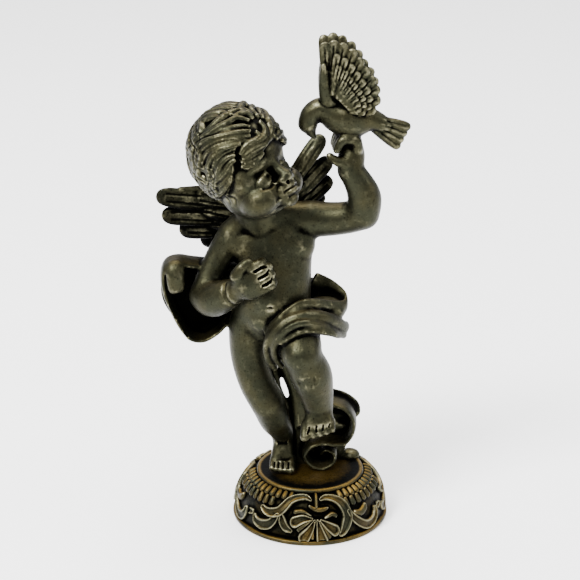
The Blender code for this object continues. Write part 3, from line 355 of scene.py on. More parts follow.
def skull(clay):
    clay.ball(on_head(*HAIR_CENTRE), [r * 0.91 for r in HAIR_RADII], HEAD_FRAME)
    clay.ball(on_head(2.6, 0, -2.4), (10.6, 10.8, 9), HEAD_FRAME)  # face
    clay.ball(on_head(4.2, 0, 4.4), (9.4, 10.6, 7.4), HEAD_FRAME)  # forehead
    clay.ball(on_head(4.4, 0, -7.2), (8.4, 8.2, 5), HEAD_FRAME)  # under the chin
    clay.ball(on_head(11.6, 0, -9.8), (2.8, 3.4, 2.6), HEAD_FRAME)  # chin
    clay.ball(on_head(11.8, 0, -6.6), (3.2, 5.2, 3.8), HEAD_FRAME)  # round the mouth
    clay.tube(head_rows((11.4, 0, 4, 2.6), (12.6, 0, 0.6, 2), (13.4, 0, -2.2, 2.2)))  # nose's root
    for side in (-1, 1):
        clay.ball(on_head(6.6, 5.9 * side, -6.2), (6.4, 6, 5), HEAD_FRAME)  # cheek
        clay.ball(on_head(6, 6.6 * side, 0), (4.6, 4.2, 3.8), HEAD_FRAME)  # temple
        brow = ((12, 1.8 * side, 2.8, 1.9), (11.6, 5.4 * side, 3.4, 1.9), (6.6, 9 * side, 2.6, 1.6))
        clay.tube(head_rows(*brow))


def bird_body(clay):
    clay.ball((10, -2, 112.2), (8.2, 5, 5.4), frame_of((-0.95, 0, 0.22), (0.2, 0, 1)))
    clay.tube([(6.4, -2, 113.8, 4.2), (2.6, -2, 115.2, 3.3), (-0.2, -2, 113.6, 3), (-1.1, -2, 111.2, 3)])
    clay.tube([(10.6, -2, 109.4, 3.8), (10.4, -2.4, 106.4, 3)])  # belly on the fingers
    clay.tube([(14, -2, 112.6, 4.2), (18, -2, 111.6, 3.2), (21.5, -2, 110, 2.4)])


# --- Second clay: features, fingers, toes and cloth ---


def face(clay):
    for side in (-1, 1):
        clay.ball(on_head(10.3, 5.2 * side, -1.8), (2, 2.5, 1.8), HEAD_FRAME)  # eye
        for lift in (1.6, -1.3):  # lids
            stations = []
            for k in range(7):
                arch = math.sin(math.pi * k / 6)
                left = 5.2 + 2.7 * math.cos(math.pi * k / 6)
                place = (9.7 + 0.33 * k + 1.35 * arch, left * side, -1.8 + lift * arch + 0.25 * (5.2 - left))
                stations.append((*on_head(*place), 0.25 + 0.2 * arch))
            clay.tube(stations, steps=3, sides=10)
        clay.ball(on_head(14.4, 1.9 * side, -4.1), (1.5, 1.3, 1.2), HEAD_FRAME)  # nostril
    clay.tube(head_rows((13.4, 0, -0.6, 1.5), (14.5, 0, -2.4, 1.6), (15, 0, -3.4, 1.9)))  # nose
    for wide, up, radius in ((3, -6.5, 0.8), (2.4, -8, 1)):  # lips
        right_half = ((13, -wide, up - 0.3, 0.5), (14.7, -wide * 0.4, up + 0.2, radius))
        left_half = ((14.7, wide * 0.4, up + 0.2, radius), (13, wide, up - 0.3, 0.5))
        clay.tube(head_rows(*right_half, (14.8, 0, up, radius), *left_half), sides=10)
    clay.lines += [
        head_stroke(0.36, 0.5, (13.6, -3.3, -7.3), (15.8, 0, -7.2), (13.6, 3.3, -7.3)),  # mouth
        head_stroke(0.7, 0.35, (13.6, -2.4, -9.2), (14.2, 0, -9.4), (13.6, 2.4, -9.2)),  # over the chin
        # Under the chin
        head_stroke(0.6, 0.5, (5, -9.4, -9.6), (9.6, -5, -11.2), (11, 0, -11.8), (9.6, 5, -11.2)),
        head_stroke(0.6, 0.5, (4, -8.4, -11.2), (8, -4, -12.2), (9, 0, -12.4), (8, 4, -12.2)),
    ]
    for side in (-1, 1):
        clay.lines += [
            # From the nostril round the mouth, the nostril's opening and the fold under the eye
            head_stroke(1.1, 0.45, (14, 3.4 * side, -4), (13.2, 4.8 * side, -6.2), (12.2, 4.8 * side, -8.6)),
            head_stroke(0.5, 0.8, (15.6, 0.9 * side, -5), (14.6, 1.4 * side, -5.3)),
            head_stroke(0.55, 0.4, (10.6, 7.4 * side, -3.6), (12.2, 5.2 * side, -3.9), (12.8, 3.4 * side, -3.2)),
        ]


def sockets():
    """Broad hollows pressed into the first clay, over each eye and between it and the nose."""
    strokes = []
    for side in (-1, 1):
        strokes += [
            head_stroke(1.2, 0.6, (12.2, 4.4 * side, -1.2), (11.4, 6.2 * side, -2)),
            head_stroke(1.5, 1.9, (12.2, 3.4 * side, 0.6), (12.6, 3.2 * side, -1.2), (12.6, 3.6 * side, -3.4)),
        ]
    return strokes


def fingers(clay):
    """The right hand lies flat on the belly. The left is raised, its fingers curled over as the bird's perch."""
    for k in range(4):
        spread = (k - 1.5) * 2.5
        joints = ((1.2, spread, 1), (4.4, spread, 1.5), (6.8 - 0.3 * abs(spread - 0.8), spread * 0.95, 0.4))
        clay.tube([(*(PALM + PALM_FRAME @ vec(*p)), r) for p, r in zip(joints, (1.5, 1.5, 1.3))])
        if k < 3:
            slot = [PALM + PALM_FRAME @ vec(along, spread + 1.25, 3) for along in (2, 4, 6, 7.4)]
            clay.lines.append((slot, 0.32, 1))
    thumb = ((-2.8, 3.8, 0.8), (0.2, 5.4, 1.3), (2.6, 5.8, 1.2))
    clay.tube([(*(PALM + PALM_FRAME @ vec(*p)), r) for p, r in zip(thumb, (2, 1.6, 1.3))])
    for k in range(4):
        y = -5.2 + 2.5 * k
        clay.tube(
            [(13.2, y * 0.8, 103.6, 1.8), (12.6 - 0.2 * k, y, 106.4 + 0.2 * k, 1.55),
             (9 - 0.3 * k, y - 0.4, 106.6 + 0.2 * k, 1.45), (7.2 - 0.2 * k, y - 0.7, 103.8, 1.2)]
        )
    clay.tube([(10, -4.6, 99.4, 2.2), (7.4, -5.2, 100.2, 1.5), (5.2, -4.8, 101.6, 1.15)])


# Each toe from the little one on: its share along the row, its girth and its length
TOES = ((-0.52, 0.8, 0.8), (-0.29, 0.88, 0.92), (-0.05, 0.95, 1), (0.19, 1, 1.05), (0.49, 1.25, 1.12))
TOE_RADIUS = 1.15


def toes(clay):
    for (_, instep, toe_row), reach in ((RIGHT_FOOT, (-0.3, -4.6, -1.6)), (LEFT_FOOT, (-0.2, -2.4, -2.8))):
        roots, tips = [], []
        for share, girth, reached in TOES:
            root = Vector(instep) + Vector(toe_row) * share + Vector((0, 0, 0.4))
            tip = root + Vector(reach) * reached
            roots.append(root)
            tips.append(tip)
            clay.tube([(*place, TOE_RADIUS * girth) for place in (root, (root + tip) / 2, tip)])
        for k in range(4):  # the slots between them
            top = Vector((0, -1, 1.2))
            start, end = (roots[k] + roots[k + 1]) / 2 + top, (tips[k] + tips[k + 1]) / 2 + top
            clay.lines.append(([start.lerp(end, 0.4), start.lerp(end, 0.7), end], 0.24, 0.7))


def thigh_cloth(clay):
    """A loop from the left of the waist, and the doubled hem that crosses the thigh above the knee."""
    clay.loft(
        [(0.5, 4.5, 60.4, 2.6, 1), (5.2, 4.6, 57.6, 3, 0.9), (9.4, 2.6, 54.6, 3, 0.9), (10, -0.8, 53.6, 2.2, 1),
         (5.4, -4.8, 55.4, 1.7, 1.3), (1.6, -7.6, 57, 1.7, 1.4), (-2.6, -9.6, 57.4, 1.8, 1.4),
         (-6, -10.6, 55.6, 1.9, 1.4), (-10, -11, 52, 1.9, 1.4), (-13.2, -9.6, 48, 1.6, 1.2)],
        across=(0.1, 0.1, 1),
    )
    clay.ball((4, -0.5, 52.5), (6.6, 6.5, 3.6))  # the cloth inside the loop
    clay.loft(
        [(10.4, 1.5, 46.6, 1.6, 1), (10.2, -2, 47.2, 1.9, 1.3), (7, -6.4, 50.8, 2, 1.6), (3, -9.6, 53.6, 2, 1.7),
         (-1.6, -11.8, 54.6, 2, 1.7), (-6.4, -12.4, 53.4, 2, 1.7), (-10.2, -12, 50.4, 2, 1.6),
         (-12.8, -10.6, 46, 2, 1.4), (-12.4, -8.6, 40.4, 1.8, 1.2), (-10.6, -6.6, 35.6, 1.2, 1)],
        across=(0.3, 0.3, 0.9),
    )
    clay.loft(
        [(9.6, 0.5, 44.6, 0.9, 0.9), (9.8, -3.2, 45.2, 1.1, 1), (6.4, -8, 48.8, 1.2, 1.1),
         (2.2, -12, 52, 1.2, 1.2), (-1.8, -14.2, 53.6, 1.2, 1.2), (-5.6, -14.8, 52.8, 1.2, 1.2),
         (-9, -14, 49.6, 1.2, 1.2), (-10.8, -12.2, 45.4, 1.2, 1.1), (-10.4, -10, 40.6, 1.1, 1),
         (-8.4, -8.4, 37, 0.9, 0.9)],
        across=(0.35, 0.6, 0.7),
    )
    clay.loft(
        [(-8.6, -7, 47, 7.6, 2.2), (-2.6, -7.5, 50.6, 7.6, 2.2), (4, -4.5, 49.6, 7.2, 2), (8.6, -1, 46.6, 4, 1.3)],
        across=(0.1, 1, 0),
    )


def swag(clay):
    """The sash crosses the back of the hips and hangs out behind the right elbow, its end turned over."""
    clay.loft(
        [(3, 4.5, 57, 3.6, 1.3), (-3.5, 9.8, 54.5, 4.8, 1.3), (-11, 11.4, 51.5, 5.2, 1.3),
         (-18, 9.6, 48.5, 5.2, 1.3), (-23.5, 6, 46.5, 5, 1.2)],
        across=(0, 0.1, 1),
    )
    clay.loft(
        [(-20, 6.5, 48, 4.4, 1), (-24.8, 5, 47.6, 5.2, 1), (-28.4, 4, 44.6, 5.6, 1), (-32.6, 3.4, 42.6, 5.8, 1),
         (-36.6, 3, 43.6, 5.8, 1), (-39.6, 2.6, 48, 5.6, 1), (-42.4, 2, 54.4, 5.4, 1), (-43.8, 1.4, 60, 5.2, 1.1),
         (-43.4, 1, 66, 5, 1.2), (-40, 1.2, 67.6, 4.8, 1.2), (-35, 2.2, 66.6, 4.6, 1.2), (-28, 5, 65, 4, 1.4),
         (-21, 7.5, 64, 3.6, 1.6)],
        across=(0, 1, 0),
    )
    clay.loft(
        [(-42.6, 5.4, 61, 4.4, 1), (-38, 6.2, 56.6, 9, 1.1), (-31.5, 7, 54, 11, 1.2), (-24, 7.6, 55, 10, 1.4),
         (-18, 7.6, 56, 8, 1.6)],
        across=(0.2, 0.1, 1),
    )
    for drop in (0, 4.6, 9.2):  # folds across its back
        clay.tube(
            [(-41.6 + 0.3 * drop, 6.8, 61.5 + 0.35 * drop, 0.6), (-36.5, 7.8, 54.6 + drop, 1.1),
             (-29.5, 8.6, 49.6 + drop, 1.3), (-20.5, 9.2, 48.6 + drop, 0.9)]
        )
    clay.loft(
        [(-39.9, 2, 66.8, 2.4, 1.2), (-40.2, -2.4, 67.4, 2.7, 1.5), (-40.2, -4.4, 64.6, 2.8, 1.5),
         (-40, -4.2, 60.6, 2.6, 1.2), (-39.6, -3.4, 58.8, 2, 0.8)],
        across=(1, 0, 0),
    )


def fall(clay):
    """The end of the sash falls behind the legs, swings out to the left and rolls up on the base."""
    clay.loft(
        [(-2, 6, 25, 4, 1.6), (2.5, 4.6, 22, 4.6, 1.3), (6.8, 3.6, 20.8, 4.6, 1.1), (10.8, 3, 19.4, 4.6, 1),
         (13.2, 2.8, 15.8, 4.6, 1), (13, 2.6, 11.6, 4.6, 1), (10.8, 2.2, 8.6, 4.6, 1), (8, 1.6, 8.2, 4.6, 1),
         (3.8, 1.2, 8.6, 4.4, 1), (0.2, 1, 7.6, 4.4, 1), (-1.6, 1, 4.4, 4.4, 1), (0, 1, 1.4, 4.4, 1),
         (3.6, 1, 0.2, 4.4, 1), (7, 1.2, 1.8, 4.2, 0.9), (7.4, 1.6, 4.6, 3.8, 0.8), (5, 2, 5.8, 3.4, 0.8),
         (3.4, 2.4, 4, 3, 0.7)],
        across=(0, 1, 0), steps=5,
    )
    clay.loft(  # the back of both rolls
        [(-2, 7, 24, 4, 1.6), (4, 7, 18, 6.6, 1.3), (10, 7.4, 15, 6.6, 1.2), (12.4, 7.6, 12, 4, 1)],
        across=(0.5, 0, 0.9),
    )
    clay.loft([(10, 6.4, 12, 3.6, 1.2), (7, 6.2, 5, 4.6, 1.3), (3, 6, 0, 5.4, 1.6)], across=(1, 0, 0))
    # The folds between the legs, with an opening between them
    clay.loft(
        [(-12.6, 5, 45, 5.4, 2), (-12.2, 4.6, 38, 4, 2), (-11.6, 3.6, 30, 2.4, 1.7), (-10.4, 3.6, 24, 1.9, 1.6),
         (-7.6, 4.6, 16, 2.6, 2), (-5, 5.6, 8, 4, 2.6), (-2.6, 5.4, 3, 4.6, 3), (-1.5, 5.2, -1.5, 4.8, 3.2)],
        across=(1, 0.2, 0),
    )
    clay.loft(
        [(-8, 4.5, 46, 4.6, 2), (-8.4, 3.6, 38, 3.4, 1.8), (-7.4, 3.4, 31, 2, 1.6), (-4.8, 4.4, 23, 2, 1.7),
         (-3, 5.4, 12, 3.6, 2.2)],
        across=(1, 0.1, 0),
    )
    clay.loft([(-4, 5.4, 26, 1.6, 1.2), (-1.6, 6.4, 20, 3.6, 1.8), (-1, 6.4, 12, 5, 2.2)], across=(1, 0.2, 0))
    clay.ball((12.4, 7.6, 0.4), (3.4, 3, 1.9))  # the ground under the fall


# --- Third clay: hair and feathers ---


def hair_places(ways):
    """Places on the round that the hair fills, from directions out of its middle."""
    return [[c + r * w for c, r, w in zip(HAIR_CENTRE, HAIR_RADII, way)] for way in ways]


def hair(clay):
    """Locks swept back over the forehead, the same on both sides, waves down the back and over the crown."""
    for k, (half_width, places) in enumerate(HAIR_LOCKS):
        add_lock(clay, half_width, 0.02 * math.sin(2.4 * k), places)
        if sum(left for _, left, _ in places) / len(places) < -4:
            mirrored = [(forward, 2 * HAIR_CENTRE[1] - left, up) for forward, left, up in places]
            add_lock(clay, half_width, 0.02 * math.sin(2.4 * k + 1), mirrored)
    for layer, count, low, high in ((0, 22, 86, 22), (1, 21, 52, -14), (2, 18, 14, -46)):
        for k in range(count):
            turn = 90 + 180 * (k + 0.5) / count
            ways = []
            for j in range(7):
                lean = math.radians(low + (high - low) * j / 6 - 7 * (k % 2) + 3 * math.sin(2.6 * k))
                sway = 10 * math.sin(1.5 * j + 0.5 * k + 2 * layer) + 0.8 * j * math.sin(1.1 * k + layer)
                around = math.radians(turn + sway)
                ways.append((math.cos(lean) * math.cos(around), math.cos(lean) * math.sin(around), math.sin(lean)))
            add_lock(clay, 1.5, (0.015, 0, -0.01)[layer] + 0.012 * math.sin(3.1 * k), hair_places(ways))
    for k in range(7):  # straight back over the crown
        ways = []
        for j in range(6):
            lean = math.radians(34 - 15 * j + 5 * (k % 2))
            aside = (-6.3 + 2.1 * k + 0.9 * math.sin(1.4 * j + 0.5 * k)) / HAIR_RADII[1]
            ways.append((math.sin(lean) * math.cos(aside), math.sin(aside), math.cos(lean) * math.cos(aside)))
        add_lock(clay, 1.4, 0.01 * (k % 3) - 0.005, hair_places(ways))


def add_lock(clay, half_width, lift, places):
    """One lock of hair, through places in the head's own directions.

    It is a low strap with a narrow ridge along it and a fine strand drawn on top.
    """
    count = len(places)
    for width, thickness, level in ((1, 1.1, 0.945), (0.62, 1, 0.97)):
        stations = []
        for k, place in enumerate(places):
            inset = [c + (p - c) * (level + lift) for c, p in zip(HAIR_CENTRE, place)]
            taper = min(1, 0.45 + 1.6 * min(k, count - 1 - k) / count)
            stations.append((*on_head(*inset), half_width * width * taper, thickness * taper))
        clay.loft(stations, out_from=on_head(*HAIR_CENTRE), steps=5, sides=10)
    line = [on_head(*(c + (p - c) * (1.03 + lift) for c, p in zip(HAIR_CENTRE, place))) for place in places]
    clay.lines.append((line, 0.34, 0.2))


# A feather's outline: shares along it, of its half width and of its half thickness
FEATHER_SHAPE = (
    (0, 0.5, 1.1), (0.3, 0.82, 1), (0.62, 1, 1), (0.84, 1, 0.95), (0.94, 0.82, 0.8), (0.985, 0.5, 0.6),
    (1, 0.15, 0.4),
)


def feather(clay, root, tip, half_width, half_thickness, facing, bend=0, grooves=2):
    """A flat feather with a round tip. facing is square to its blade, and bend bows it that way."""
    root, tip, facing = Vector(root), Vector(tip), Vector(facing).normalized()
    travel = tip - root
    across = travel.cross(facing).normalized()
    stations = []
    for along, wide, thick in FEATHER_SHAPE:
        place = root + travel * along + facing * bend * math.sin(math.pi * along)
        stations.append((*place, half_width * wide, half_thickness * thick))
    clay.loft(stations, across=across, steps=4, sides=14)
    for k in range(grooves):
        shift = across * half_width * 0.5 * (2 * k - grooves + 1)
        line = []
        for along in (0.4, 0.52, 0.65, 0.78, 0.9):
            rise = facing * (bend * math.sin(math.pi * along) + half_thickness)
            line.append(root + travel * along + rise + shift * (1.1 - along * 0.4))
        clay.lines.append((line, 0.2 * half_width**0.5, 0.22))


def fan(clay, roots, tips, half_width, half_thickness, facing, bend=0):
    """Feathers side by side, from the line of roots to the line of tips."""
    for root, tip in zip(roots, tips):
        feather(clay, root, tip, half_width, half_thickness, facing, bend)


def wings(clay):
    """The child's wings: long flight feathers under a short row of coverts."""
    right_facing, left_facing = (0.05, -0.98, 0.18), (-0.25, -0.95, 0.1)
    right_tips = ((-46.6, 12, 84.2), (-45, 12, 78.2), (-39.8, 12, 73.8), (-33.5, 12, 71))
    right_roots = ((-18, 8.6, 83), (-18.5, 8.8, 79), (-18, 9, 75.5), (-17, 9, 72.5))
    fan(clay, right_roots, right_tips, 3.1, 1, right_facing, 1.2)
    fan(clay, right_roots, spaced((-35, 10, 85), (-29, 10, 74.6), 4), 2.8, 1.2, right_facing, 1.6)
    clay.tube([(-14.5, 7, 77, 3.2), (-20, 8.6, 84, 2.2), (-30, 10.2, 86.4, 1.6), (-39, 11.2, 86.2, 1.2)])
    left_tips = ((3.6, 12, 103.2), (5.8, 12.5, 96), (6, 12.5, 90), (3.6, 12, 85.4))
    left_roots = ((-9.5, 8, 84.5), (-8, 8.4, 81.6), (-7, 8.6, 78.6), (-7, 8.6, 76))
    fan(clay, left_roots, left_tips, 2.7, 1.1, left_facing, 1)
    fan(clay, left_roots, spaced((-2.6, 10.4, 94.4), (-0.2, 10.4, 84), 4), 2.6, 1.3, left_facing, 0.6)
    clay.tube([(-8.5, 6.5, 78, 3.2), (-8.5, 8.5, 86, 2.2), (-4.5, 10, 92.5, 1.6), (0, 11, 98.5, 1.2)])


def bird_feathers(clay):
    clay.tube([(-1.1, -2, 110.6, 2.9), (-0.1, -2, 108, 1.6), (0.9, -2, 106.4, 0.6)])  # beak
    roots = spaced((16, -2, 112.6), (16, -2, 110.4), 4)
    tips = spaced((28.6, -2, 109.4), (25.6, -2, 103.4), 4)
    for root, tip in zip(roots, tips):
        feather(clay, root, tip, 1.5, 1.6, (0.1, -1, 0.3), grooves=1)
    for y, lean in ((-3.6, -2.6), (0.6, 3.2)):
        bird_wing(clay, y, lean)


def bird_wing(clay, y, lean):
    """A raised wing: flight feathers round its edge, rows of coverts over them and a smooth leading edge."""
    facing = Vector((0, -1 if lean < 0 else 1, 0.3)).normalized()
    tips = (
        (3.4, 135.4), (6.2, 136), (9, 135.2), (11.8, 133.4), (14, 130.8), (15.8, 128),
        (17.8, 125.4), (19.2, 122.4), (19.5, 119.2), (18.2, 116.2),
    )
    for row, (reach, width) in enumerate(((1, 1.75), (0.76, 1.5), (0.56, 1.4), (0.38, 1.3))):
        for k in range(row, len(tips) - row % 2):
            share = k + 0.5 * (row % 2)
            root = Vector((4.4, y, 121)).lerp(Vector((11.5, y, 114)), share / (len(tips) - 1))
            (x, z), (next_x, next_z) = tips[k], tips[min(k + 1, len(tips) - 1)]
            tip = Vector((x, y + lean, z)).lerp(Vector((next_x, y + lean, next_z)), share - k)
            step = facing * 0.75 * row
            feather(clay, root + step, root.lerp(tip, reach) + step, width, 0.8, facing, grooves=1)
    clay.loft(
        [(8.5, y * 0.8, 113, 3, 2), (5, y, 117.5, 2.6, 1.8), (3.6, y + lean * 0.3, 123, 1.8, 1.6),
         (3.4, y + lean * 0.6, 129, 1, 1.2)],
        across=(0.8, 0, 0.6),
    )


# --- Fusing, carving, ageing and painted shade ---


def new_object(name, mesh):
    bpy.ops.object.select_all(action="DESELECT")
    obj = bpy.data.objects.new(name, mesh)
    bpy.context.scene.collection.objects.link(obj)
    obj.select_set(True)
    bpy.context.view_layer.objects.active = obj
    return obj


def apply_modifier(obj, kind, **settings):
    """Adds a modifier with its settings and applies it."""
    modifier = obj.modifiers.new(kind.title(), kind)
    for key, value in settings.items():
        setattr(modifier, key, value)
    bpy.ops.object.modifier_apply(modifier=modifier.name)


def fuse(obj, parts, voxel, rounds):
    """Adds the parts' shells to the object's mesh, makes all of it one skin, smooths it and returns the lines to
    carve on it.
    """
    clay = Clay(obj.data)
    for part in parts:
        part(clay)
    bmesh.ops.recalc_face_normals(clay.mesh, faces=clay.mesh.faces)
    clay.mesh.to_mesh(obj.data)
    clay.mesh.free()
    apply_modifier(obj, "REMESH", mode="VOXEL", voxel_size=voxel)
    apply_modifier(obj, "SMOOTH", iterations=rounds)
    return clay.lines


def keep_largest():
    """Splits the active object, deletes the small shells that line sealed hollows and returns what is left."""
    bpy.ops.object.mode_set(mode="EDIT")
    bpy.ops.mesh.select_all(action="SELECT")
    bpy.ops.mesh.separate(type="LOOSE")
    bpy.ops.object.mode_set(mode="OBJECT")
    shells = sorted(bpy.context.selected_objects, key=lambda o: len(o.data.vertices))
    kept = shells.pop()
    for shell in shells:
        bpy.data.objects.remove(shell)
    bpy.ops.object.select_all(action="DESELECT")
    kept.select_set(True)
    bpy.context.view_layer.objects.active = kept
    return kept


def points_of(mesh, what="co"):
    """The mesh's vertices as an array of places or of normals."""
    values = np.empty(len(mesh.vertices) * 3)
    mesh.vertices.foreach_get(what, values)
    return values.reshape(-1, 3)


def stroke_gap(places, path):
    """Each place's distance to a path, and how far along it the nearest point is, from 0 to 1."""
    best = np.full(len(places), np.inf)
    along = np.zeros(len(places))
    for k, (start, end) in enumerate(zip(path, path[1:])):
        run = end - start
        share = np.clip(((places - start) @ run) / max(run @ run, 1e-12), 0.0, 1.0)
        gap = np.linalg.norm(places - start - share[:, None] * run, axis=1)
        nearer = gap < best
        best[nearer] = gap[nearer]
        along[nearer] = (k + share[nearer]) / (len(path) - 1)
    return best, along


def carve(obj, strokes):
    """Presses each stroke into the surface, or raises it where its depth is negative.

    A stroke is its points, which are first drawn onto the surface, its half width and its depth.
    """
    mesh = obj.data
    tree = BVHTree.FromObject(obj, bpy.context.evaluated_depsgraph_get())
    places, normals = points_of(mesh), points_of(mesh, "normal")
    moved = np.zeros(len(places))
    for points, width, depth in strokes:
        path = np.array([tree.find_nearest(p)[0] for p in smooth_path(points, 5)])
        low, high = path.min(axis=0) - 2.5 * width, path.max(axis=0) + 2.5 * width
        near = np.flatnonzero(((places > low) & (places < high)).all(axis=1))
        gap, along = stroke_gap(places[near], path)
        ends = np.clip(np.minimum(along, 1.0 - along) * 8.0, 0.0, 1.0)
        moved[near] -= depth * np.exp(-((gap / width) ** 2)) * np.sqrt(ends)
    places += normals * moved[:, None]
    mesh.vertices.foreach_set("co", places.ravel())
    mesh.update()


def creases():
    """The fine lines pressed into the skin and the cloth."""
    strokes = [([(-12.0, -9.8, 56.9), (-12.0, -9.8, 56.3)], 0.6, 0.8)]  # navel
    for place, way, radius, reach, width, depth in (
        ((-22.8, -9.5, 62.0), (10.2, -8.0, 4.9), 4.0, 3, 0.6, 0.45),  # right wrist
        ((-0.6, -10.8, 36.4), (0.4, 0.15, -1.0), 6.4, 1, 1.3, 0.3),  # left knee
        ((-8.5, 2.4, 8.8), (0.0, -0.2, 1.0), 3.6, 1, 1.0, 0.3),  # right ankle
    ):
        turned = Vector(way).normalized().to_track_quat("Z", "X")
        angles = [k * math.pi / 6 for k in range(12)]
        ring = [Vector(place) + turned @ (Vector((math.cos(a), math.sin(a), 0)) * radius) for a in angles]
        front = min(range(12), key=lambda k: ring[k].y)
        strokes.append(([ring[(front + k) % 12] for k in range(-reach, reach + 1)], width, depth))
    strokes += [
        (((-36.0, -4.0, 45.0), (-33.0, -4.0, 49.0), (-27.0, -4.0, 51.0)), 1.0, 0.5),  # hanging sash
        (((-41.0, -3.6, 50.0), (-39.0, -4.0, 56.0), (-38.5, -4.0, 62.0)), 1.0, 0.5),
        (((6.0, -5.6, 56.4), (1.0, -9.4, 58.6), (-4.6, -11.6, 58.0), (-9.0, -12.0, 54.4)), 0.7, 0.35),  # hem
    ]
    return strokes


GOLDEN_ANGLE = 2.399963  # radians, which spreads the rays evenly
AGE_GRAIN = 0.00016  # a rise of this much above the surface round it counts as 1
AGE_ROUNDS = (6, 40)  # how far round the fine and the broad rise look
SKY_REACH = 0.009  # how far away another surface still shelters one, for the painted shade
# The wings and the loose cloth, painted in shade, lie behind this depth, above this height and this far from the
# body's middle
BACK_DEPTH, BACK_FADE, BACK_LOW = 0.002, 0.003, 0.03
BODY_MIDDLE, BODY_HALF_WIDTH, BODY_FADE = -0.012, 0.012, 0.004


def blurred(values, ends, count, rounds):
    """Values on vertices, averaged with their neighbours' over and over."""
    first, second = ends[:, 0], ends[:, 1]
    degree = np.bincount(ends.ravel(), minlength=count)[:, None]
    for _ in range(rounds):
        total = np.stack(
            [
                np.bincount(first, weights=column[second], minlength=count)
                + np.bincount(second, weights=column[first], minlength=count)
                for column in values.T
            ],
            axis=1,
        )
        values = 0.5 * values + 0.5 * total / degree
    return values


def open_sky(obj, reach, rays=10):
    """How much each vertex sees past the surface near it, from 0 in a deep hollow to 1 in the open."""
    mesh = obj.data
    tree = BVHTree.FromObject(obj, bpy.context.evaluated_depsgraph_get())
    places, normals = points_of(mesh), points_of(mesh, "normal")
    helper = np.where(np.abs(normals[:, 2:]) < 0.9, [[0.0, 0.0, 1.0]], [[1.0, 0.0, 0.0]])
    side = np.cross(normals, helper)
    side /= np.linalg.norm(side, axis=1, keepdims=True)
    other = np.cross(normals, side)
    starts = [Vector(p) for p in (places + normals * reach * 0.01).tolist()]
    seen = np.zeros(len(places))
    for k in range(rays):
        lean = math.asin(math.sqrt((k + 0.5) / rays))
        turn = k * GOLDEN_ANGLE
        ways = normals * math.cos(lean) + (side * math.cos(turn) + other * math.sin(turn)) * math.sin(lean)
        hits = [tree.ray_cast(start, way, reach)[3] for start, way in zip(starts, ways.tolist())]
        seen += np.array([1.0 if hit is None else min(hit / reach, 1.0) for hit in hits])
    return seen / rays


def age_and_shade(obj):
    """Stores on each vertex what the metal's finish reads: its hollows, its worn edges, and the painted shade of its
    sheltered places, its downward faces and the parts behind the body.
    """
    mesh = obj.data
    count = len(mesh.vertices)
    ends = np.empty(len(mesh.edges) * 2, np.int32)
    mesh.edges.foreach_get("vertices", ends)
    ends = ends.reshape(-1, 2)
    places, normals = points_of(mesh), points_of(mesh, "normal")
    fine, broad = (
        ((places - blurred(places, ends, count, rounds)) * normals).sum(axis=1) / AGE_GRAIN for rounds in AGE_ROUNDS
    )
    sky = blurred(open_sky(obj, SKY_REACH)[:, None], ends, count, 2)[:, 0]
    # Painted shade: the wings and the loose cloth behind the body are painted blacker, where shade falls on them.
    behind = np.clip((places[:, 1] - BACK_DEPTH) / BACK_FADE, 0.0, 1.0)
    behind *= np.clip((abs(places[:, 0] - BODY_MIDDLE) - BODY_HALF_WIDTH) / BODY_FADE, 0.0, 1.0)
    behind *= places[:, 2] > BACK_LOW
    layers = {
        "hollow": np.clip(-0.9 * fine - 0.35 * broad, 0.0, 1.0),
        "worn": np.clip(2.2 * fine - 0.3 * broad - 0.42, 0.0, 1.0),
        # painted shade: darker where near surfaces close a vertex in, on faces that look down and on the parts behind
        # the body
        "painted_shade": 1.0 - sky + 0.35 * np.clip(-normals[:, 2], 0.0, 1.0) + 0.5 * behind,
    }
    for name, values in layers.items():
        layer = mesh.attributes.new(name, "FLOAT", "POINT")
        layer.data.foreach_set("value", values.astype(np.float32))


# --- Materials ---


def add_node(tree, kind, values=None, links=None, **settings):
    """Adds a node to a material, with its socket values, its links and its settings."""
    node = tree.nodes.new(kind)
    for key, value in settings.items():
        setattr(node, key, value)
    for key, value in (values or {}).items():
        node.inputs[key].default_value = value
    for key, source in (links or {}).items():
        tree.links.new(source, node.inputs[key])
    return node


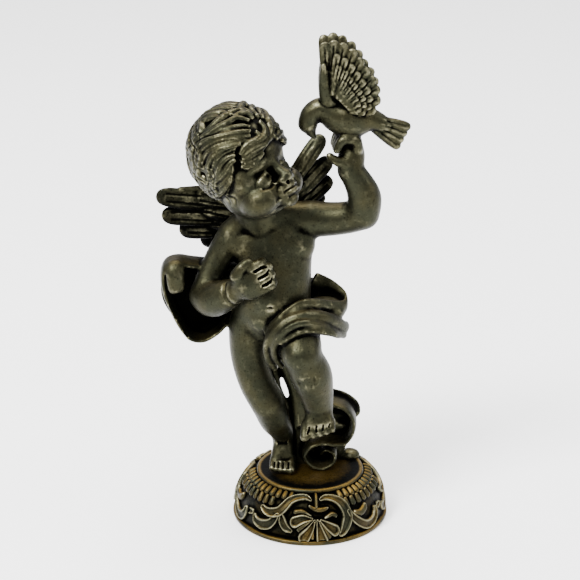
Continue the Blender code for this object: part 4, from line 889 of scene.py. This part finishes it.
def antiqued_pewter_and_shade(name, colours, tarnish, tint):
    """Cast pewter blackened by antiquing and rubbed back: dull grey olive, black hollows and pale worn edges, with
    painted shade that blackens its sheltered places, its downward faces and the parts behind the body.

    The tarnish lies in soft patches and on upward faces, and tint is how strong it is.
    """
    material = bpy.data.materials.new(name)
    material.use_nodes = True
    tree = material.node_tree
    tree.nodes.clear()
    coords = add_node(tree, "ShaderNodeTexCoord").outputs["Object"]
    hollow, worn, painted_shade, ground = (
        add_node(tree, "ShaderNodeAttribute", attribute_name=layer).outputs["Fac"]
        for layer in ("hollow", "worn", "painted_shade", "ground")
    )

    def noise(size_mm, detail=3.0, roughness=0.5):
        values = {"Scale": 1000.0 / size_mm, "Detail": detail, "Roughness": roughness}
        return add_node(tree, "ShaderNodeTexNoise", values, {"Vector": coords}).outputs["Fac"]

    def maths(operation, first, second=0.0, third=0.0, clamp=False):
        node = add_node(tree, "ShaderNodeMath", operation=operation, use_clamp=clamp)
        for key, value in enumerate((first, second, third)):
            if isinstance(value, (int, float)):
                node.inputs[key].default_value = value
            else:
                tree.links.new(value, node.inputs[key])
        return node.outputs[0]

    def blend(share, first, second):
        node = add_node(tree, "ShaderNodeMix", data_type="RGBA")
        for key, value in ((0, share), (6, first), (7, second)):
            if isinstance(value, tuple):
                node.inputs[key].default_value = (*value, 1.0)
            elif isinstance(value, (int, float)):
                node.inputs[key].default_value = value
            else:
                tree.links.new(value, node.inputs[key])
        return node.outputs[2]

    clouds = noise(7.0)  # soft patches of tarnish, about 7 mm
    mottle = noise(1.6, 4.0, 0.6)  # uneven rubbing, about 1.6 mm
    pits = noise(0.55, 2.0)  # casting pits, about 0.5 mm
    normal = add_node(tree, "ShaderNodeNewGeometry").outputs["Normal"]
    upright = add_node(tree, "ShaderNodeSeparateXYZ", {}, {"Vector": normal}).outputs["Z"]
    settled = maths("MULTIPLY", maths("SUBTRACT", clouds, 0.4), 0.5)
    settled = maths("MULTIPLY_ADD", maths("SUBTRACT", upright, 0.7, clamp=True), 1.4, settled)
    stained = maths("MULTIPLY", settled, tint, clamp=True)
    metal = blend(stained, tuple(colours.metal), tuple(tarnish))
    flecks = maths("MULTIPLY", maths("SUBTRACT", mottle, 0.55), 0.35)
    edge = maths("MULTIPLY_ADD", worn, maths("MULTIPLY_ADD", mottle, 0.9, 0.25), flecks, clamp=True)
    rubbed = blend(edge, metal, tuple(colours.worn))
    # painted shade from the painted_shade layer, added to the real antiquing in the hollows
    deep = maths("MULTIPLY_ADD", maths("SUBTRACT", painted_shade, 0.25, clamp=True), 2.8, maths("MULTIPLY", hollow, 1.3))
    antiquing_and_shade = maths("ADD", deep, maths("MULTIPLY", maths("SUBTRACT", pits, 0.58, clamp=True), 4.0))
    antiquing_and_shade = maths("MULTIPLY_ADD", ground, 0.75, antiquing_and_shade)
    antiquing_and_shade = maths("SUBTRACT", antiquing_and_shade, maths("MULTIPLY", maths("SUBTRACT", mottle, 0.5), 0.6))
    antiquing_and_shade = maths("MULTIPLY_ADD", worn, -0.5, antiquing_and_shade, clamp=True)
    # Blackens towards the antiquing colour: real antiquing in the hollows, pits and the base's ground, and painted
    # shade in sheltered places, under downward faces and behind the body.
    colour = blend(antiquing_and_shade, rubbed, tuple(colours.patina_and_shade))
    roughness = maths("MULTIPLY_ADD", antiquing_and_shade, 0.2, maths("MULTIPLY_ADD", mottle, 0.2, 0.34))
    roughness = maths("MULTIPLY_ADD", edge, -0.15, roughness)
    height = maths("ADD", maths("MULTIPLY", mottle, 0.6), maths("MULTIPLY", pits, 0.5))
    bump = add_node(tree, "ShaderNodeBump", {"Strength": 0.7, "Distance": 0.00016}, {"Height": height})
    shader = add_node(
        tree, "ShaderNodeBsdfPrincipled", {"Metallic": 1.0},
        {"Base Color": colour, "Roughness": roughness, "Normal": bump.outputs["Normal"]},
    )
    add_node(tree, "ShaderNodeOutputMaterial", {}, {"Surface": shader.outputs["BSDF"]})
    return material


def plain_material(name, colour, roughness):
    material = bpy.data.materials.new(name)
    material.use_nodes = True
    shader = material.node_tree.nodes["Principled BSDF"]
    shader.inputs["Base Color"].default_value = (*colour, 1.0)
    shader.inputs["Roughness"].default_value = roughness
    return material


# --- The base's skirt and its carving ---

NECK_SETBACK = 0.0007  # from the platform's edge in to the top of the skirt
SKIRT_SETBACK = 0.0014  # from the flange's edge in to the foot of the skirt


def skirt_place(sizes, share):
    """The radius, the height and the outward direction of the uncarved skirt, at a share of the way down it."""
    rise = (1.0 - share) * math.pi / 2
    top_radius, low = sizes.platform_radius - NECK_SETBACK, sizes.flange_thickness
    width = sizes.base_radius - SKIRT_SETBACK - top_radius
    height = sizes.base_height - sizes.platform_thickness - low
    outward = Vector((height * math.cos(rise), width * math.sin(rise))).normalized()
    return top_radius + width * math.cos(rise), low + height * math.sin(rise), outward


SKIRT_ROWS, TURN_SEGMENTS = 84, 900  # the skirt's points, down it and round it
SKIRT_SLOPE = 0.0146  # about the length of the skirt's curve, from the platform down to the flange
PANELS = 3  # the carving repeats this often round the skirt
PANEL_TURN = 5.0  # degrees that the front panel stands to the right of the front
CHANNEL = ((0.0, 0.5), (0.42, 0.56), (0.68, 1.0), (0.84, 0.9), (1.0, 0.0))  # a hollow band with raised edges
RIDGE = ((0.0, 1.0), (0.35, 0.93), (0.6, 0.76), (0.8, 0.5), (1.0, 0.0))
MERGE_GAP, RING_GAP = 1e-7, 1e-6  # points this close are one point, or lie on one ring
LINE_UNIT = 1.25e-4  # metres, the unit of the lines' half widths
# The scrolls and the shell of a panel: each line's height, as a share of the relief's, its cross-section and its
# points, which are degrees from the panel's middle, a share of the way down and a half width in LINE_UNIT.
PANEL_LINES = (
    (1.0, CHANNEL, [(-5.0, 0.27, 3), (-9.7, 0.20, 8), (-16.4, 0.22, 10), (-23.0, 0.31, 11), (-26.8, 0.44, 12),
                    (-31.0, 0.55, 12), (-37.0, 0.60, 11), (-42.3, 0.60, 9), (-46.0, 0.56, 6)]),
    (1.0, CHANNEL, [(4.0, 0.26, 4), (9.0, 0.22, 8), (15.8, 0.27, 10), (21.0, 0.37, 12), (24.0, 0.52, 13),
                    (24.7, 0.66, 14), (22.4, 0.78, 13), (20.0, 0.87, 10), (17.7, 0.92, 5)]),
    (0.85, CHANNEL, [(-53.0, 0.75, 4), (-50.8, 0.83, 9), (-44.7, 0.85, 11), (-38.0, 0.80, 11), (-34.0, 0.70, 9),
                     (-32.0, 0.62, 5)]),
    (0.9, CHANNEL, [(-28.2, 0.63, 6), (-26.8, 0.72, 10), (-24.0, 0.80, 9), (-20.3, 0.84, 5)]),
    (0.85, CHANNEL, [(27.0, 0.58, 6), (30.4, 0.71, 9), (35.7, 0.82, 10), (42.8, 0.91, 10), (50.3, 0.90, 10),
                     (54.3, 0.82, 9), (55.2, 0.72, 5)]),
    (0.8, RIDGE, [(32.7, 0.63, 6), (38.0, 0.67, 9), (43.0, 0.63, 9), (44.3, 0.58, 6)]),
    (0.9, RIDGE, [(0.0, 0.10, 5), (0.0, 0.28, 6), (-0.3, 0.41, 5)]),
    (0.7, RIDGE, [(-6.0, 0.39, 4), (-3.0, 0.44, 6), (2.0, 0.47, 7), (7.0, 0.46, 6), (9.3, 0.44, 3)]),
    (1.0, CHANNEL, [(0.3, 0.66, 3), (2.0, 0.84, 10), (3.7, 1.00, 16)]),
    (1.0, CHANNEL, [(-2.0, 0.66, 3), (-6.0, 0.82, 10), (-10.0, 0.94, 15)]),
    (0.95, CHANNEL, [(-4.0, 0.63, 3), (-11.0, 0.63, 10), (-17.3, 0.69, 13)]),
    (0.7, RIDGE, [(-5.0, 0.57, 2), (-12.0, 0.50, 6), (-17.3, 0.52, 7)]),
    (1.0, CHANNEL, [(3.0, 0.66, 3), (8.0, 0.75, 9), (13.3, 0.84, 13)]),
    (0.75, RIDGE, [(2.0, 0.67, 2), (6.0, 0.81, 6), (9.0, 0.93, 8)]),
    (0.75, RIDGE, [(-2.3, 0.68, 2), (-3.2, 0.82, 4), (-3.7, 0.94, 6)]),
    (0.75, RIDGE, [(-4.0, 0.65, 2), (-10.0, 0.74, 6), (-14.0, 0.81, 7)]),
    (0.8, RIDGE, [(6.3, 0.62, 3), (12.0, 0.57, 6), (15.0, 0.60, 6)]),
    (0.7, CHANNEL, [(-73.0, 0.63, 4), (-66.4, 0.73, 9), (-56.8, 0.72, 6)]),
)


def relief_at(across, down, radius):
    """The carving's height from 0 to 1 on a panel, at degrees from its middle and shares of the way down."""
    height = np.zeros_like(across)
    for top, section, points in (*PANEL_LINES, *tooth_lines()):
        path = smooth_path(points, 5)
        best = np.full_like(across, np.inf)
        for start, end in zip(path, path[1:]):
            to_x, to_y = np.radians(across - start[0]) * radius, (down - start[1]) * SKIRT_SLOPE
            run_x, run_y = math.radians(end[0] - start[0]) * radius, (end[1] - start[1]) * SKIRT_SLOPE
            share = np.clip((to_x * run_x + to_y * run_y) / max(run_x**2 + run_y**2, 1e-12), 0.0, 1.0)
            gap = np.hypot(to_x - share * run_x, to_y - share * run_y)
            best = np.minimum(best, gap / ((start[2] + (end[2] - start[2]) * share) * LINE_UNIT))
        height = np.maximum(height, top * np.interp(best, *zip(*section)))
    return height


def tooth_lines():
    """Two rows of teeth below the platform, on both sides of the scrolls."""
    for side in (-1, 1):
        for k in range(6):
            across = side * (24.0 + 6.6 * k)
            yield 0.75, RIDGE, [(across, 0.10, 7), (across, 0.24, 9)]
            if k > 1 or side > 0:
                yield 0.7, RIDGE, [(across + side * 3.2, 0.33, 7), (across + side * 3.2, 0.44, 9)]


def build_base(sizes):
    """The base, turned from its profile and then carved on the skirt."""
    low, high = sizes.flange_thickness, sizes.base_height
    edge = low * 0.35
    profile = [(0.0, 0.0), (sizes.base_radius - edge, 0.0)]
    lower, upper = [(turn, edge) for turn in (-60, -30, 0)], [(turn, low - edge) for turn in (0, 30, 60, 90)]
    for turn, height in lower + upper:
        angle = math.radians(turn)
        profile.append((sizes.base_radius - edge + edge * math.cos(angle), height + edge * math.sin(angle)))
    profile += [skirt_place(sizes, 1.0 - k / SKIRT_ROWS)[:2] for k in range(SKIRT_ROWS + 1)]
    half = sizes.platform_thickness / 2
    lip = [math.radians(-60 + 15 * k) for k in range(11)]
    profile += [(sizes.platform_radius - half + half * math.cos(a), high - half + half * math.sin(a)) for a in lip]
    profile += [(sizes.platform_radius * share, high - half * 0.25) for share in (0.9, 0.5, 0.0)]
    mesh = bpy.data.meshes.new("base_carved")
    mesh.from_pydata([(r, 0.0, z) for r, z in profile], [(k, k + 1) for k in range(len(profile) - 1)], [])
    base = new_object("base_carved", mesh)
    apply_modifier(
        base, "SCREW", steps=TURN_SEGMENTS, render_steps=TURN_SEGMENTS, use_merge_vertices=True,
        merge_threshold=MERGE_GAP,
    )
    bpy.ops.object.mode_set(mode="EDIT")
    bpy.ops.mesh.select_all(action="SELECT")
    bpy.ops.mesh.remove_doubles(threshold=MERGE_GAP)
    bpy.ops.mesh.normals_make_consistent(inside=False)
    bpy.ops.object.mode_set(mode="OBJECT")
    carve_skirt(base, sizes)
    bpy.ops.object.shade_smooth()
    return base


def carve_skirt(base, sizes):
    """Moves each ring of the skirt's points out by the carving's height."""
    places = points_of(base.data)
    radii = np.hypot(places[:, 0], places[:, 1])
    ground = np.zeros(len(places))
    for k in range(1, SKIRT_ROWS):
        down = k / SKIRT_ROWS
        radius, height, outward = skirt_place(sizes, down)
        ring = np.flatnonzero((np.abs(places[:, 2] - height) < RING_GAP) & (np.abs(radii - radius) < RING_GAP))
        angles = np.degrees(np.arctan2(places[ring, 0], -places[ring, 1])) - PANEL_TURN
        panel = 360.0 / PANELS
        across = (angles + panel / 2) % panel - panel / 2
        raised = relief_at(across, np.full_like(across, down), radius)
        ground[ring] = np.clip(1.0 - 2.0 * raised, 0.0, 1.0)
        lift = raised * sizes.relief_height
        places[ring, :2] *= (1.0 + outward.x * lift / radius)[:, None]
        places[ring, 2] += outward.y * lift
    base.data.vertices.foreach_set("co", places.ravel())
    base.data.update()
    layer = base.data.attributes.new("ground", "FLOAT", "POINT")
    layer.data.foreach_set("value", ground.astype(np.float32))


# --- Operators ---

# The camera fitted to the photograph: its lens in mm, where it stands and how many degrees it looks down
CAMERA_LENS, CAMERA_PLACE, CAMERA_DIP = 110.7, (-0.00624, -0.5, 0.2609), 20.55
# Each light's place, its width and its watts. All of them look at the middle of the part.
SOFTBOXES = {
    "key_softbox": ((-0.5, -0.45, 0.85), 0.32, 23.0),
    "side_softbox": ((0.75, -0.15, 0.45), 0.4, 3.0),
    "top_softbox": ((0.0, 0.25, 0.95), 0.6, 8.0),
}
LIGHT_TARGET = (0.0, 0.0, 0.08)


class FIGURINE_OT_figure(bpy.types.Operator):
    """The child, its wings, sash and bird, one antiqued casting"""

    bl_idname = "figurine.figure"
    bl_label = "Add the figure"

    def execute(self, context):
        sizes, colours = context.scene.figurine_sizes, context.scene.figurine_colours
        figure = new_object("cherub_casting", bpy.data.meshes.new("cherub_casting"))
        fuse(figure, (torso, arms, legs, skull, bird_body), voxel=0.55, rounds=14)
        carve(figure, sockets())
        lines = fuse(figure, (face, fingers, toes, thigh_cloth, swag, fall), voxel=0.4, rounds=3)
        lines += fuse(figure, (hair, wings, bird_feathers), voxel=sizes.skin_voxel, rounds=1)
        figure = keep_largest()
        carve(figure, lines + creases())
        share = sizes.figure_faces / (2 * len(figure.data.polygons))
        apply_modifier(figure, "DECIMATE", ratio=min(share, 1.0))
        unit = sizes.figure_height / FIGURE_UNITS
        figure.data.transform(Matrix.Translation((0, 0, sizes.base_height)) @ Matrix.Scale(unit, 4))
        age_and_shade(figure)
        bpy.ops.object.shade_smooth()
        figure.data.materials.append(antiqued_pewter_and_shade("antiqued_pewter_and_shade", colours, colours.tarnish, tint=1.2))
        figure.name = "cherub_casting"
        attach(figure, "root")
        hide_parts("cherub")
        return {"FINISHED"}


class FIGURINE_OT_base(bpy.types.Operator):
    """The round base with shells and scrolls carved on its skirt"""

    bl_idname = "figurine.base"
    bl_label = "Add the base"

    def execute(self, context):
        sizes, colours = context.scene.figurine_sizes, context.scene.figurine_colours
        base = build_base(sizes)
        age_and_shade(base)
        base.data.materials.append(antiqued_pewter_and_shade("antiqued_pewter_and_shade_base", colours, colours.gilt, tint=3.0))
        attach(base, "root")
        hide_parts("base")
        return {"FINISHED"}


class FIGURINE_OT_stage(bpy.types.Operator):
    """A pale floor, soft studio lights and the camera"""

    bl_idname = "figurine.stage"
    bl_label = "Add the stage"

    def execute(self, context):
        scene = context.scene
        bpy.ops.object.select_all(action="DESELECT")
        bpy.ops.mesh.primitive_plane_add(size=6.0)
        floor = context.object
        floor.name = "floor"
        floor.data.materials.append(plain_material("pale_paper", tuple(scene.figurine_colours.floor), 0.9))
        world = bpy.data.worlds.new("soft_room")
        world.use_nodes = True
        sky = world.node_tree
        direction = add_node(sky, "ShaderNodeTexCoord").outputs["Generated"]
        height = add_node(sky, "ShaderNodeSeparateXYZ", {}, {"Vector": direction}).outputs["Z"]
        ceiling = add_node(sky, "ShaderNodeMapRange", {"To Min": 0.1, "To Max": 3.1}, {"Value": height})
        sky.links.new(ceiling.outputs["Result"], sky.nodes["Background"].inputs["Strength"])
        sky.nodes["Background"].inputs["Color"].default_value = (1.0, 1.0, 1.0, 1.0)
        scene.world = world
        for name, (place, size, watts) in SOFTBOXES.items():
            lamp = bpy.data.lights.new(name, "AREA")
            lamp.size = size
            lamp.energy = watts
            light = bpy.data.objects.new(name, lamp)
            light.location = place
            light.rotation_euler = (Vector(LIGHT_TARGET) - Vector(place)).to_track_quat("-Z", "Y").to_euler()
            scene.collection.objects.link(light)
        lens = bpy.data.cameras.new("photo_camera")
        lens.sensor_width = 36.0
        lens.lens = CAMERA_LENS
        camera = bpy.data.objects.new("photo_camera", lens)
        camera.location = CAMERA_PLACE
        camera.rotation_euler = (math.radians(90.0 - CAMERA_DIP), 0.0, 0.0)
        scene.collection.objects.link(camera)
        scene.camera = camera
        return {"FINISHED"}


class FIGURINE_PT_panel(bpy.types.Panel):
    """Lists the figurine's pieces and its stage"""

    bl_idname = "FIGURINE_PT_panel"
    bl_label = "Cherub figurine"
    bl_space_type = "VIEW_3D"
    bl_region_type = "UI"
    bl_category = "Cherub"

    def draw(self, context):
        for operator in (FIGURINE_OT_figure, FIGURINE_OT_base, FIGURINE_OT_stage):
            self.layout.operator(operator.bl_idname)
        for group in (context.scene.figurine_sizes, context.scene.figurine_colours):
            for key in group.__annotations__:
                self.layout.prop(group, key)


CLASSES = (FigurineSizes, FigurineColours, FIGURINE_OT_figure, FIGURINE_OT_base, FIGURINE_OT_stage, FIGURINE_PT_panel)


def register():
    for cls in CLASSES:
        bpy.utils.register_class(cls)
    bpy.types.Scene.figurine_sizes = bpy.props.PointerProperty(type=FigurineSizes)
    bpy.types.Scene.figurine_colours = bpy.props.PointerProperty(type=FigurineColours)


def unregister():
    del bpy.types.Scene.figurine_colours
    del bpy.types.Scene.figurine_sizes
    for cls in reversed(CLASSES):
        bpy.utils.unregister_class(cls)


def main():
    register()
    bpy.ops.figurine.stage()
    bpy.ops.figurine.base()
    bpy.ops.figurine.figure()


if __name__ == "__main__":
    main()
